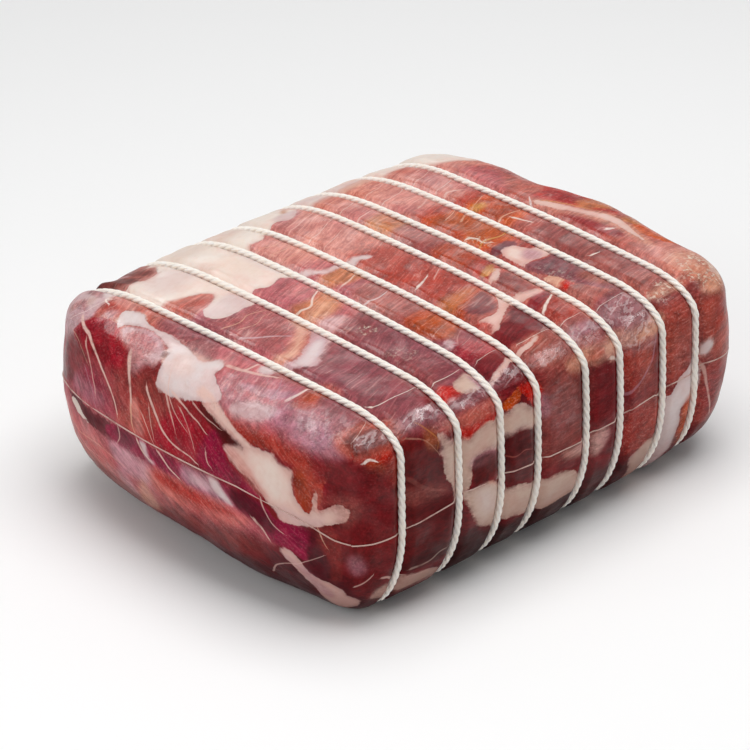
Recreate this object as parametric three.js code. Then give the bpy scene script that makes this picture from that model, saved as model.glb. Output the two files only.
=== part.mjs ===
import * as THREE from 'three';
import { mergeVertices } from 'three/addons/utils/BufferGeometryUtils.js';

// A boned ham, pressed into a brick and tied with eight loops of twine.
// Millimetres, +Z up. X runs along the brick, across the loops, and the origin is on the
// surface it lies on, under the middle of it.

// The pressed block, before its edges are rounded
const BLOCK_MIN_X = -119.1;
const BLOCK_MAX_X = 127;
const BLOCK_WIDTH = 200;
const BLOCK_HEIGHT = 94.8;

// How far each edge is rounded, measured in from the block's faces
const ROUND_LEFT = 27;
const ROUND_RIGHT = 31.5;
const ROUND_FRONT = 29.7;
const ROUND_BACK = 45;
const ROUND_TOP = 14;
const ROUND_BOTTOM = 47.9;
const ROUND_POWER = 2.2;
const ROUND_ANGLES = [15, 30, 45];

// How far the faces swell at their middles
const TOP_CROWN = 3.8;
const LEFT_SWELL = 14.9;
const RIGHT_SWELL = 7;
const SIDE_SWELL = 2.8;

// The loops: where each crosses the middle of the block, and how far its front end leans
// towards -X for every millimetre of width
const LOOPS = [
  { x: -92.9, lean: -0.02 },
  { x: -59.2, lean: -0.007 },
  { x: -32.6, lean: 0.011 },
  { x: -10.7, lean: 0.008 },
  { x: 20, lean: 0.018 },
  { x: 40.6, lean: 0.008 },
  { x: 67, lean: -0.006 },
  { x: 90.3, lean: 0.009 },
];
const TWINE_RADIUS = 1.45;
const TWINE_SIDES = 6;
const TWINE_GAP = 0.3;

// The knots, low on the back where the side turns under
const KNOT_RADIUS = 2.9;
const KNOT_HALF_LENGTH = 6;
const KNOT_HEIGHT = 27;
const KNOT_STEPS = 3;

// The valley that each loop presses in, and the meat that swells between the loops
const VALLEY_DEPTH = 1.75;
const VALLEY_DEPTH_UNDER = 3.6;
const VALLEY_FLOOR = 1.8;
const VALLEY_EDGE = 5;
const MEAT_RISE = 1;

// Uneven places: a middle, a radius, and how far the meat stands out or falls in there
const LUMPS = [
  { at: [124, -13, 89], radius: 26, rise: 3 },
  { at: [124, 35, 89], radius: 18, rise: -1.6 },
  { at: [118, 72, 90], radius: 18, rise: -1.6 },
  { at: [119, -92, 58], radius: 20, rise: 1.4 },
  { at: [123, -86, 85], radius: 14, rise: -1.2 },
  { at: [97, -86, 6], radius: 12, rise: -1.8 },
  { at: [-115, -32, 10], radius: 24, rise: 2.2 },
  { at: [-117, 66, 17], radius: 18, rise: -1.6 },
  { at: [-115, 88, 60], radius: 16, rise: 1.5 },
  { at: [90, 96, 88], radius: 20, rise: -1.6 },
  { at: [-86, 96, 88], radius: 14, rise: -1.4 },
  { at: [-46, -88, 90], radius: 12, rise: -1.8 },
  { at: [-60, 100, 40], radius: 34, rise: 0.7 },
  { at: [45, 100, 52], radius: 30, rise: -1.4 },
  { at: [128, 30, 40], radius: 34, rise: 0.4 },
  { at: [20, -30, 98], radius: 40, rise: 0.8 },
];

// The longest flat cell of the mesh along each axis
const CELL_X = 8;
const CELL_Y = 12;
const CELL_Z = 12;

const clamp = THREE.MathUtils.clamp;
const smoothstep = THREE.MathUtils.smoothstep;

function onRoundedBlock(p) {
  const core = new THREE.Vector3(
    clamp(p.x, BLOCK_MIN_X + ROUND_LEFT, BLOCK_MAX_X - ROUND_RIGHT),
    clamp(p.y, -BLOCK_WIDTH / 2 + ROUND_FRONT, BLOCK_WIDTH / 2 - ROUND_BACK),
    clamp(p.z, ROUND_BOTTOM, BLOCK_HEIGHT - ROUND_TOP),
  );
  const radii = new THREE.Vector3(
    p.x < 0 ? ROUND_LEFT : ROUND_RIGHT,
    p.y < 0 ? ROUND_FRONT : ROUND_BACK,
    p.z < BLOCK_HEIGHT / 2 ? ROUND_BOTTOM : ROUND_TOP,
  );
  const d = p.clone().sub(core).divide(radii);
  const length = (
    Math.abs(d.x) ** ROUND_POWER
    + Math.abs(d.y) ** ROUND_POWER
    + Math.abs(d.z) ** ROUND_POWER
  ) ** (1 / ROUND_POWER);
  d.divideScalar(length);
  const slope = (value, radius) => Math.sign(value) * Math.abs(value) ** (ROUND_POWER - 1) / radius;
  const normal = new THREE.Vector3(
    slope(d.x, radii.x),
    slope(d.y, radii.y),
    slope(d.z, radii.z),
  ).normalize();
  return { point: core.add(d.multiply(radii)), normal };
}

// Swells the faces: u, v and w run from -1 to 1 across the block along X, Y and Z
function swell(point) {
  const middle = (BLOCK_MIN_X + BLOCK_MAX_X) / 2;
  const u = (point.x - middle) / (BLOCK_MAX_X - middle);
  const v = point.y / (BLOCK_WIDTH / 2);
  const w = point.z / (BLOCK_HEIGHT / 2) - 1;
  const fx = clamp(1 - u * u, 0, 1);
  const fy = clamp(1 - v * v, 0, 1);
  const fz = clamp(1 - w * w, 0, 1);
  const height = clamp(point.z / BLOCK_HEIGHT, 0, 1);
  point.z += TOP_CROWN * fx * fy * height * height;
  point.x += (u < 0 ? -LEFT_SWELL : RIGHT_SWELL) * fy * fz * u * u;
  point.y += SIDE_SWELL * Math.sign(v) * fx * fz * v * v;
}

// How far the loops pull the meat in at x: 1 on a valley's floor, 0 outside the valleys
function pullAt(x) {
  const nearest = Math.min(...LOOPS.map((loop) => Math.abs(x - loop.x)));
  return 1 - smoothstep(nearest, VALLEY_FLOOR, VALLEY_EDGE);
}

function valleyDepth(normal) {
  const under = smoothstep(-normal.z, 0.6, 0.98);
  return THREE.MathUtils.lerp(VALLEY_DEPTH, VALLEY_DEPTH_UNDER, under);
}

function leanAt(x) {
  if (x <= LOOPS[0].x) return LOOPS[0].lean;
  for (let i = 1; i < LOOPS.length; i += 1) {
    const [a, b] = [LOOPS[i - 1], LOOPS[i]];
    if (x <= b.x) return THREE.MathUtils.lerp(a.lean, b.lean, (x - a.x) / (b.x - a.x));
  }
  return LOOPS[LOOPS.length - 1].lean;
}

// A point of the meat's surface, with its normal, from a point p on the plain block
function onMeat(p) {
  const { point, normal } = onRoundedBlock(p);
  const blockPoint = point.clone();
  swell(point);
  const standing = 1 - smoothstep(-normal.z, 0.85, 0.99);
  const along = 1 - normal.x * normal.x;
  const pull = pullAt(p.x);
  let rise = along * (MEAT_RISE * standing * (1 - pull) - valleyDepth(normal) * pull);
  for (const lump of LUMPS) {
    const distance = blockPoint.distanceTo(new THREE.Vector3(...lump.at));
    rise += standing * lump.rise * Math.exp(-((distance / lump.radius) ** 2));
  }
  point.addScaledVector(normal, rise);
  point.x += leanAt(p.x) * point.y;
  return { point, normal };
}

// Stations from a to b, evenly spaced no further apart than cell, without b
function spread(a, b, cell) {
  const count = Math.max(1, Math.ceil((b - a) / cell));
  return Array.from({ length: count }, (_, i) => a + (b - a) * i / count);
}

// Stations across a rounded edge, from the block's face inwards
function roundStations(face, radius, direction) {
  return ROUND_ANGLES.toReversed().map((degrees) => {
    const t = Math.tan(THREE.MathUtils.degToRad(degrees));
    return face + direction * radius * (1 - t);
  });
}

function crossStations(low, high, roundLow, roundHigh, cell) {
  return [
    ...roundStations(low, roundLow, 1),
    ...spread(low + roundLow, high - roundHigh, cell),
    high - roundHigh,
    ...roundStations(high, roundHigh, -1).toReversed(),
  ];
}

// Along the block: four stations in each valley, and even ones between the valleys
function lengthStations() {
  const stations = roundStations(BLOCK_MIN_X, ROUND_LEFT, 1);
  LOOPS.forEach((loop, i) => {
    const valley = [-VALLEY_EDGE, -VALLEY_FLOOR, VALLEY_FLOOR, VALLEY_EDGE];
    stations.push(...valley.map((offset) => loop.x + offset));
    if (i + 1 < LOOPS.length) {
      const from = loop.x + VALLEY_EDGE;
      stations.push(...spread(from, LOOPS[i + 1].x - VALLEY_EDGE, CELL_X).slice(1));
    }
  });
  stations.push(...roundStations(BLOCK_MAX_X, ROUND_RIGHT, -1).toReversed());
  return stations;
}

const STATIONS_X = lengthStations();
const STATIONS_Y = crossStations(-BLOCK_WIDTH / 2, BLOCK_WIDTH / 2, ROUND_FRONT, ROUND_BACK, CELL_Y);
const STATIONS_Z = crossStations(0, BLOCK_HEIGHT, ROUND_BOTTOM, ROUND_TOP, CELL_Z);

function positionsOnly(geometry) {
  geometry.deleteAttribute('normal');
  geometry.deleteAttribute('uv');
  return mergeVertices(geometry);
}

// The meat: a box whose grid is moved onto the stations and then onto the rounded form
function meatGeometry() {
  const nx = STATIONS_X.length - 1;
  const ny = STATIONS_Y.length - 1;
  const nz = STATIONS_Z.length - 1;
  const geometry = positionsOnly(new THREE.BoxGeometry(nx, ny, nz, nx, ny, nz));
  const position = geometry.attributes.position;
  for (let i = 0; i < position.count; i += 1) {
    const onBlock = new THREE.Vector3(
      STATIONS_X[Math.round(position.getX(i) + nx / 2)],
      STATIONS_Y[Math.round(position.getY(i) + ny / 2)],
      STATIONS_Z[Math.round(position.getZ(i) + nz / 2)],
    );
    const { point } = onMeat(onBlock);
    position.setXYZ(i, point.x, point.y, point.z);
  }
  geometry.computeVertexNormals();
  return geometry;
}

// Once round the plain block at x: over the top to the front, under it, and up the back
function roundTheBlock(x) {
  const half = BLOCK_WIDTH / 2;
  const knotSpread = KNOT_HALF_LENGTH / KNOT_STEPS;
  const knotStations = [];
  for (let i = -KNOT_STEPS; i <= KNOT_STEPS; i += 1) {
    knotStations.push(KNOT_HEIGHT + i * knotSpread);
  }
  const backStations = STATIONS_Z
    .filter((z) => Math.abs(z - KNOT_HEIGHT) > KNOT_HALF_LENGTH + 1)
    .concat(knotStations)
    .sort((a, b) => a - b);
  return [
    ...STATIONS_Y.toReversed().slice(0, -1).map((y) => new THREE.Vector3(x, y, BLOCK_HEIGHT)),
    ...STATIONS_Z.toReversed().slice(0, -1).map((z) => new THREE.Vector3(x, -half, z)),
    ...STATIONS_Y.slice(0, -1).map((y) => new THREE.Vector3(x, y, 0)),
    ...backStations.slice(0, -1).map((z) => new THREE.Vector3(x, half, z)),
  ];
}

// A loop's thickness where it passes p: the twine's own, or its knot's
function loopRadius(p) {
  if (p.y < BLOCK_WIDTH / 2) return TWINE_RADIUS;
  const fromKnot = Math.abs(p.z - KNOT_HEIGHT) / KNOT_HALF_LENGTH;
  const bulge = Math.sqrt(clamp(1 - fromKnot * fromKnot, 0, 1));
  return THREE.MathUtils.lerp(TWINE_RADIUS, KNOT_RADIUS, bulge);
}

// A closed loop of twine: a ring whose sections are moved to their places round the meat
function loopGeometry(x) {
  const path = roundTheBlock(x);
  const places = path.map((p) => onMeat(p));
  const steps = path.length;
  const geometry = new THREE.TorusGeometry(1, 0.5, TWINE_SIDES, steps);
  const position = geometry.attributes.position;
  for (let i = 0; i < position.count; i += 1) {
    const step = (i % (steps + 1)) % steps;
    const side = Math.floor(i / (steps + 1)) % TWINE_SIDES;
    const { point, normal } = places[step];
    const out = new THREE.Vector3(0, normal.y, normal.z).normalize();
    const radius = loopRadius(path[step]);
    const angle = side / TWINE_SIDES * Math.PI * 2;
    const place = point.clone();
    place.addScaledVector(out, TWINE_GAP + radius + radius * Math.cos(angle));
    place.x += radius * Math.sin(angle);
    position.setXYZ(i, place.x, place.y, place.z);
  }
  const merged = positionsOnly(geometry);
  merged.computeVertexNormals();
  return merged;
}

const meatMaterial = new THREE.MeshStandardMaterial({ color: 0x8c3b35, roughness: 0.45 });
const twineMaterial = new THREE.MeshStandardMaterial({ color: 0xe9e0d2, roughness: 0.9 });

function namedMesh(name, geometry, material) {
  const mesh = new THREE.Mesh(geometry, material);
  mesh.name = name;
  return mesh;
}

const group = new THREE.Group();
group.add(namedMesh('ham', meatGeometry(), meatMaterial));
LOOPS.forEach((loop, i) => {
  group.add(namedMesh(`string_${i + 1}`, loopGeometry(loop.x), twineMaterial));
});

export default group;
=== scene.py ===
"""The looks of a boned, pressed ham tied with twine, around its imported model."""
import logging
import math
from dataclasses import dataclass
from enum import Enum

import bpy
import numpy as np
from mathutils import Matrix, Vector, noise


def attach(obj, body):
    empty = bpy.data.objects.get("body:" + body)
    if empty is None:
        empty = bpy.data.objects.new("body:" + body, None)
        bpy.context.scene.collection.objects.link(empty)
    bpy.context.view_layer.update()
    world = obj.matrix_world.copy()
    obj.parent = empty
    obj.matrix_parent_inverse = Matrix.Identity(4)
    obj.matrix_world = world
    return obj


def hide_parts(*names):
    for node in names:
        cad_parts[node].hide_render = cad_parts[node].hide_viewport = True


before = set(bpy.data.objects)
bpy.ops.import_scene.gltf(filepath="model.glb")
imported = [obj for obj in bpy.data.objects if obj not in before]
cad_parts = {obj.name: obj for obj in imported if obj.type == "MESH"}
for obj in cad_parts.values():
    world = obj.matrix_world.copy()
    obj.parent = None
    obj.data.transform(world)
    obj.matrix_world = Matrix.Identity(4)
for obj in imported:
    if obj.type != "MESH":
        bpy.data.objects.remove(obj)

LOG = logging.getLogger("ham")
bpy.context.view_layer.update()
MM = 0.001
BODY = "root"
# Each stretch of a curve is cut into this many pieces.
CURVE_STEPS = 4
# A vein is measured this far from its line, and this width counts as 1, both in mm.
VEIN_REACH = 6.0
WIDEST_VEIN = 6.0

Colour = tuple[float, float, float]
Point = tuple[float, float, float]
Array = np.ndarray
Socket = bpy.types.NodeSocket
Node = bpy.types.Node


def smoothstep(value: Array, low: float, high: float) -> Array:
    """Rises smoothly from 0 at low to 1 at high."""
    t = np.clip((value - low) / (high - low), 0.0, 1.0)
    return t * t * (3.0 - 2.0 * t)


def linear(hex_colour: str) -> Colour:
    """Turns a screen colour such as "c08070" into linear light."""
    parts = [int(hex_colour[i:i + 2], 16) / 255.0 for i in (0, 2, 4)]
    return tuple(p / 12.92 if p <= 0.04045 else ((p + 0.055) / 1.055) ** 2.4 for p in parts)


def rounded(numbers: tuple[float, ...], closed: bool) -> Array:
    """Draws a smooth curve through hand-set places.

    Args:
        numbers: the two numbers of each place in turn.
        closed: whether the curve ends where it starts.

    Returns:
        The curve's points, one a row.
    """
    places = np.reshape(numbers, (-1, 2)).astype(float)
    if closed:
        around = np.concatenate([places[-1:], places, places[:2]])
    else:
        around = np.concatenate([places[:1], places, places[-1:]])
    points = []
    for a, b, c, d in zip(around, around[1:], around[2:], around[3:]):
        for t in np.arange(CURVE_STEPS) / CURVE_STEPS:
            bend = (2 * a - 5 * b + 4 * c - d) * t * t + (3 * b - a - 3 * c + d) * t ** 3
            points.append(b + 0.5 * ((c - a) * t + bend))
    if not closed:
        points.append(places[-1])
    return np.array(points)


class Face(Enum):
    """A face of the plain block, by its right-hand and upward directions seen from outside.

    A place on it is two numbers in millimetres, and they run on over the face's edges.
    """

    TOP = ((1, 0, 0), (0, 1, 0))
    FRONT = ((1, 0, 0), (0, 0, 1))
    END = ((0, -1, 0), (0, 0, 1))
    BACK = ((-1, 0, 0), (0, 0, 1))
    FAR = ((0, 1, 0), (0, 0, 1))
    UNDER = ((1, 0, 0), (0, -1, 0))

    def axes(self) -> tuple[Array, Array, Array]:
        """The face's right-hand and upward directions, and the way out of it."""
        right, up = (np.array(direction, float) for direction in self.value)
        return right, up, np.cross(right, up)

    def unfold(self, block: Array, low: Array, high: Array) -> Array:
        """Lays the block out flat around this face.

        Args:
            block: points on the plain block, one a row.
            low: the block's lowest corner.
            high: the block's highest corner.

        Returns:
            Two numbers a row, far away for points of the opposite face.
        """
        right, up, normal = self.axes()
        below = np.where(normal > 0, high, low) @ np.abs(normal) * normal.sum() - block @ normal
        flat = np.stack([block @ right, block @ up], axis=1)
        for i, axis in enumerate((right, up)):
            ends = sorted((low @ axis, high @ axis))
            flat[:, i] += np.where(flat[:, i] >= ends[1] - 1e-6, below, 0.0)
            flat[:, i] -= np.where(flat[:, i] <= ends[0] + 1e-6, below, 0.0)
        thickness = abs((high - low) @ normal)
        flat[below > thickness - 1e-6] = 1e4
        return flat

    def place(self, a: float, b: float, low: Array, high: Array) -> Array:
        """The block's point at two numbers on this face, from the block's lowest and highest corners."""
        right, up, normal = self.axes()
        return right * a + up * b + np.abs(normal) * np.where(normal > 0, high, low)


class Tone(Enum):
    """The colours of the meat and its fat in full light, as screen colours."""

    IVORY = "efe0d8"
    CREAM = "e8dad0"
    PEARL = "dccdcb"
    BLUSH = "dfbdb3"
    PEACH = "d9ab94"
    BEIGE = "cdb2a4"
    LILAC = "b58a96"
    PINK = "c98a80"
    SALMON = "cf7866"
    ROSE = "b0645a"
    MAUVE = "985a56"
    DUSK = "87443f"
    BRICK = "a54538"
    RED = "ab2e23"
    SCARLET = "bd2416"
    CRIMSON = "9c2434"
    MAGENTA = "902244"
    PLUM = "703840"
    WINE = "762226"
    UMBER = "541a18"
    # Painted shade: the dark bottom of the front side.
    BOTTOM_SHADE = "34100f"
    ORANGE = "c25a22"
    RUST = "a24622"
    OCHRE = "bc7c50"
    GOLD = "c8985a"
    AMBER = "b0561c"
    GARNET = "86232c"
    CLARET = "561620"
    DUSTY = "b66c70"
    HEATHER = "8c4e54"
    VEIL = "c8a8ac"
    CLAY = "a2625a"


@dataclass(frozen=True)
class Patch:
    """An area of one tone: the two numbers of each corner in turn, and how far its edge fades, in mm."""

    face: Face
    tone: Tone
    outline: tuple[float, ...]
    soft: float
    strength: float = 1.0


@dataclass(frozen=True)
class SheenOrCrust:
    """An area of painted sheen or of dry crust, laid out as a patch is."""

    face: Face
    outline: tuple[float, ...]
    soft: float
    strength: float = 1.0


@dataclass(frozen=True)
class Vein:
    """A thin streak of fat or sinew: the two numbers of each place on its line, and its width, in mm."""

    face: Face
    line: tuple[float, ...]
    width: float
    strength: float = 0.8
    tone: Tone = Tone.BLUSH


def on_face(kind: type, face: Face, *rows: tuple) -> tuple:
    """Makes one face's patches, films or veins from rows of the rest of their values."""
    return tuple(kind(face, *row) for row in rows)


# Every outline and line is read from the photograph, or guessed on the faces that it hides.
# Patches are painted in this order.
PATCHES = on_face(Patch, Face.BACK,
    (Tone.CREAM, (-150, 130, 150, 130, 150, -50, -150, -50), 2),
    (Tone.BLUSH, (-90, 60, -30, 70, 40, 58, 100, 64, 100, 20, -90, 16), 16, 0.6),
    (Tone.PEARL, (-20, 80, 30, 84, 60, 70, 10, 60), 10, 0.6),
    (Tone.BRICK, (-150, 34, -112, 38, -88, 30, -62, 33, -44, 24, -18, 20, 4, 26, 30, 21, 52, 30, 70, 27,
       92, 36, 112, 33, 150, 40, 150, -60, -150, -60), 0.9),
    (Tone.WINE, (-150, 20, -80, 18, -20, 8, 40, 10, 90, 22, 150, 24, 150, -60, -150, -60), 6, 0.8),
    (Tone.PEACH, (-104, 20, -84, 24, -66, 18, -60, 8, -76, 2, -98, 6), 1.2),
    (Tone.BEIGE, (22, 14, 40, 18, 62, 14, 70, 2, 52, -6, 28, 0), 1),
    (Tone.ROSE, (-52, 62, -38, 72, -14, 74, 8, 66, 12, 56, -6, 50, -30, 48, -46, 52), 1),
    (Tone.BRICK, (-40, 64, -20, 69, 0, 62, -10, 55, -32, 54), 4, 0.7),
    (Tone.SALMON, (78, 88, 90, 84, 104, 70, 108, 54, 98, 50, 88, 60, 80, 72), 1.2),
    (Tone.RUST, (-96, 74, -84, 82, -72, 80, -70, 70, -82, 64, -94, 66), 1.4, 0.9),
    (Tone.PINK, (20, 56, 44, 60, 60, 50, 40, 42, 22, 46), 6, 0.4),
    (Tone.PEACH, (-120, 60, -100, 70, -90, 56, -110, 48), 5, 0.5),
    (Tone.VEIL, (-60, 92, -30, 94, -20, 84, -50, 80), 6, 0.5),
    (Tone.SALMON, (108, 60, 118, 70, 128, 62, 126, 46, 114, 42), 1.6, 0.8),
    (Tone.CLAY, (-24, 14, 0, 19, 20, 13, 10, 3, -14, 5), 3, 0.6),
    (Tone.PEARL, (-50, 28, -38, 34, -26, 30, -30, 24, -42, 22), 1.2, 0.8),
) + on_face(Patch, Face.FAR,
    (Tone.BRICK, (-110, 92, 110, 92, 110, -60, -110, -60), 4),
    (Tone.WINE, (-60, 48, 20, 50, 96, 44, 110, -60, -60, -60), 8, 0.85),
    (Tone.CRIMSON, (-84, 84, -50, 86, -38, 70, -60, 58, -84, 62), 4, 0.8),
    (Tone.ROSE, (-20, 84, 20, 88, 40, 74, 18, 62, -16, 66), 5, 0.8),
    (Tone.MAGENTA, (26, 60, 60, 66, 74, 54, 60, 42, 30, 44), 3, 0.8),
    (Tone.UMBER, (-80, 30, -40, 34, -20, 16, -40, -4, -80, 2), 6, 0.7),
    (Tone.CREAM, (110, 96, 84, 92, 66, 82, 54, 80, 48, 70, 38, 62, 24, 58, 8, 60, -6, 54, -20, 44, -36, 42,
       -30, 36, -14, 38, 0, 46, 14, 50, 30, 52, 46, 60, 58, 68, 70, 70, 82, 66, 90, 52, 96, 40, 112, 36),
       0.9),
    (Tone.BLUSH, (-70, 56, -58, 48, -50, 34, -44, 18, -36, 10, -30, -6, -42, -8, -50, 8, -58, 26, -66, 38,
       -74, 48), 0.9),
    (Tone.PEACH, (60, 24, 74, 28, 86, 18, 84, 2, 70, -6, 60, 6), 1.4, 0.9),
    (Tone.SALMON, (0, 36, 24, 42, 48, 36, 40, 24, 10, 22), 4, 0.6),
    (Tone.UMBER, (-96, 66, -80, 72, -66, 62, -60, 50, -72, 44, -90, 50), 3, 0.8),
    (Tone.MAUVE, (-50, 92, -30, 94, -8, 88, -12, 76, -40, 78), 4, 0.8),
    (Tone.PLUM, (-10, 34, 14, 40, 30, 34, 24, 22, 0, 20), 4, 0.7),
    (Tone.LILAC, (-40, 66, -24, 70, -10, 64, -18, 56, -36, 56), 3, 0.5),
    (Tone.CLARET, (20, 14, 50, 20, 70, 12, 60, -10, 24, -10), 6, 0.7),
    (Tone.PINK, (60, 78, 76, 84, 84, 76, 72, 70), 3, 0.5),
    (Tone.PEARL, (-98, 98, -84, 100, -76, 92, -82, 84, -92, 80, -102, 86), 1.2, 0.85),
    (Tone.BLUSH, (-106, 30, -97, 37, -86, 30, -84, 18, -90, 6, -102, 4), 1.1, 0.9),
    (Tone.PEARL, (-10, 12, 4, 17, 20, 13, 34, 4, 18, 1, 0, 4), 1.0, 0.8),
    (Tone.MAUVE, (20, 42, 60, 44, 72, 26, 30, 20), 5, 0.6),
    (Tone.BEIGE, (-66, 36, -46, 41, -24, 35, -8, 26, -10, 21, -26, 27, -44, 31, -62, 29), 1, 0.9),
    (Tone.PEACH, (72, 40, 88, 44, 94, 30, 84, 22, 74, 28), 1.2, 0.85),
    (Tone.CLAY, (-98, 44, -70, 46, -66, 34, -94, 30), 4, 0.6),
) + on_face(Patch, Face.UNDER,
    (Tone.WINE, (-150, 130, 150, 130, 150, -130, -150, -130), 4),
    (Tone.MAUVE, (-96, 60, -20, 70, 40, 40, 20, -30, -80, -40), 14, 0.8),
    (Tone.BRICK, (20, 70, 100, 60, 104, -10, 40, -30), 12, 0.8),
    (Tone.CREAM, (-110, -40, -84, -30, -60, -38, -30, -34, -4, -46, 20, -40, 44, -52, 70, -48, 98, -58,
       130, -60, 132, -124, 104, -134, 74, -123, 46, -136, 12, -126, -18, -138, -50, -124, -84, -135,
       -108, -122, -132, -130), 0.9),
    (Tone.BLUSH, (-60, 30, -44, 36, -20, 28, 2, 30, 18, 20, 6, 14, -16, 16, -36, 20, -52, 18), 1),
    (Tone.PEARL, (56, 24, 66, 40, 84, 44, 92, 30, 80, 16, 64, 12), 1),
    (Tone.BEIGE, (-118, 60, -100, 72, -80, 66, -76, 54, -92, 46, -112, 48), 1),
) + on_face(Patch, Face.FRONT,
    (Tone.WINE, (-150, 88, 140, 88, 140, -60, -150, -60), 4),
    (Tone.DUSK, (-10, 86, 20, 86, 17, 52, -10, 46), 5, 0.8),
    (Tone.MAUVE, (0, 84, 12, 80, 12, 56, 0, 54), 4, 0.5),
    (Tone.BRICK, (43, 82, 58, 84, 59, 66, 50, 60, 43, 64), 4, 0.8),
    (Tone.BRICK, (43, 52, 67, 52, 68, 32, 46, 26), 5, 0.8),
    (Tone.BRICK, (70, 88, 88, 88, 86, 62, 70, 56), 4, 0.8),
    (Tone.BRICK, (93, 88, 99, 86, 110, 82, 135, 84, 135, 76, 104, 75, 96, 70), 3),
    (Tone.GARNET, (104, 82, 135, 84, 135, 77, 108, 76), 2.5, 0.8),
    (Tone.BRICK, (101, 70, 108, 73, 135, 71, 135, 48, 104, 52), 4, 0.85),
    (Tone.BRICK, (94, 50, 112, 50, 112, 24, 94, 22), 5, 0.8),
    (Tone.BEIGE, (108, 32, 118, 46, 140, 50, 140, 14, 116, 10), 4, 0.7),
    (Tone.CLAY, (58, 92, 140, 92, 140, 20, 104, 16, 60, 42), 7, 0.4),
    (Tone.UMBER, (-126, 76, -110, 80, -94, 76, -92, 52, -124, 52), 5, 0.85),
    (Tone.UMBER, (-90, 86, -72, 80, -69, 60, -90, 62), 5, 0.6),
    (Tone.UMBER, (-90, 60, -66, 56, -60, 46, -60, 26, -90, 28), 8, 0.6),
    (Tone.CRIMSON, (-130, 84, -112, 82, -108, 68, -122, 60, -134, 66), 4, 0.5),
    (Tone.GARNET, (96, 50, 112, 50, 124, 30, 112, 20, 98, 26), 5, 0.5),
    # Painted shade: these three darkest patches paint the shade at the bottom of the front side.
    (Tone.BOTTOM_SHADE, (-90, 27, -62, 30, -60, 20, -90, 21), 3, 0.6),
    (Tone.BOTTOM_SHADE, (-57, 26, -34, 22, -10, 17, 20, 17, 20, -40, -57, -40), 4, 0.8),
    (Tone.BOTTOM_SHADE, (22, 24, 50, 20, 53, 4, 53, -40, 22, -40), 6, 0.6),
    (Tone.WINE, (61, 84, 67, 85, 67, 58, 60, 62, 59, 74), 2, 0.7),
    (Tone.UMBER, (14, 82, 20, 83, 20, 52, 15, 54), 2.5, 0.6),
    (Tone.LILAC, (-122, 34, -114, 36, -111, 28, -118, 22), 3.5, 0.45),
    (Tone.BRICK, (-128, 86, -96, 84, -94, 72, -106, 66, -124, 70), 4, 0.7),
    (Tone.CLAY, (-98, 60, -92, 66, -74, 62, -66, 56, -80, 56), 3, 0.4),
    (Tone.RED, (-140, 90, -118, 92, -100, 90, -97, 84, -106, 83, -114, 85, -122, 81, -140, 82), 2),
    (Tone.SCARLET, (-124, 90, -114, 90, -112, 87, -122, 85), 2, 0.7),
    (Tone.RUST, (-112, 84, -106, 84, -102, 80, -103, 76, -108, 77, -113, 80), 1.5),
    (Tone.BEIGE, (-90, 16, -86, 17, -79, 14, -73, 13, -68, 9, -65, 4, -66, -10, -90, -10), 1),
    (Tone.BEIGE, (-105, 10, -101, 16, -98, 17, -95, 9, -95, -8, -106, -6), 1.2, 0.8),
    (Tone.OCHRE, (-77, 92, -72, 93, -70, 82, -74, 79, -79, 83), 2, 0.45),
    (Tone.PINK, (-72, 92, -60, 91, -58, 85, -70, 84), 2, 0.7),
    (Tone.BEIGE, (-72, 85, -66, 81, -61, 78, -57, 76, -56, 54, -60, 48, -63, 52, -66, 60, -69, 64, -70, 72),
       1.2),
    (Tone.SCARLET, (-58, 82, -48, 83, -38, 84, -33, 83, -33, 79, -42, 79, -50, 77, -58, 74), 0.9),
    (Tone.ROSE, (-57, 88, -33, 89, -33, 83, -57, 82), 2, 0.9),
    (Tone.ORANGE, (-31, 80, -23, 82, -19, 86, -21, 87, -31, 84), 0.9),
    (Tone.SCARLET, (-21, 86, -15, 88, -8, 86, -8, 72, -12, 72, -16, 80), 1.1),
    (Tone.BEIGE, (-60, 76, -54, 76, -50, 78, -42, 80, -36, 79, -31, 79, -25, 82, -20, 81, -15, 77, -10, 72,
       -9, 67, -12, 66, -17, 67, -22, 69, -28, 68, -33, 66, -38, 66, -44, 67, -50, 66, -53, 62, -53, 56,
       -56, 51, -60, 52), 0.9),
    (Tone.LILAC, (-54, 66, -46, 68, -38, 67, -40, 62, -51, 61), 1.5, 0.5),
    (Tone.LILAC, (-12, 80, -6, 79, -5, 70, -10, 70), 2, 0.5),
    (Tone.UMBER, (-52, 65, -45, 66, -38, 65, -33, 63, -31, 69, -22, 69, -13, 65, -12, 44, -20, 43, -30, 44,
       -32, 52, -38, 54, -51, 53), 1.5, 0.75),
    (Tone.BEIGE, (-57, 51, -50, 52, -42, 52, -36, 48, -31, 42, -26, 43, -21, 42, -15, 40, -10, 38, -4, 38,
       3, 38, 8, 37, 13, 34, 17, 30, 20, 26, 21, 19, 19, 14, 17, 15, 15, 19, 9, 19, 1, 17, -6, 17, -12, 19,
       -18, 22, -26, 25, -34, 23, -40, 27, -46, 30, -50, 35, -54, 43), 0.9),
    (Tone.PEARL, (-50, 48, -42, 48, -36, 38, -44, 36), 4, 0.45),
    (Tone.BLUSH, (4, 48, 18, 48, 18, 43, 10, 43, 5, 45), 1.8, 0.5),
    (Tone.BLUSH, (23, 48, 29, 50, 33, 46, 30, 41, 24, 38), 2, 0.5),
    (Tone.PEACH, (22, 91, 66, 91, 66, 84, 44, 83, 22, 83), 2, 0.7),
    (Tone.PEACH, (9, 88, 19, 89, 19, 83, 10, 84), 1.8, 0.5),
    (Tone.PEACH, (32, 87, 40, 88, 41, 81, 36, 80, 32, 83), 1.6, 0.6),
    (Tone.PEACH, (55, 90, 67, 91, 67, 84, 56, 84), 2, 0.6),
    (Tone.BRICK, (23, 87, 28, 88, 31, 86, 28, 84, 23, 84), 0.9, 0.6),
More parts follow.
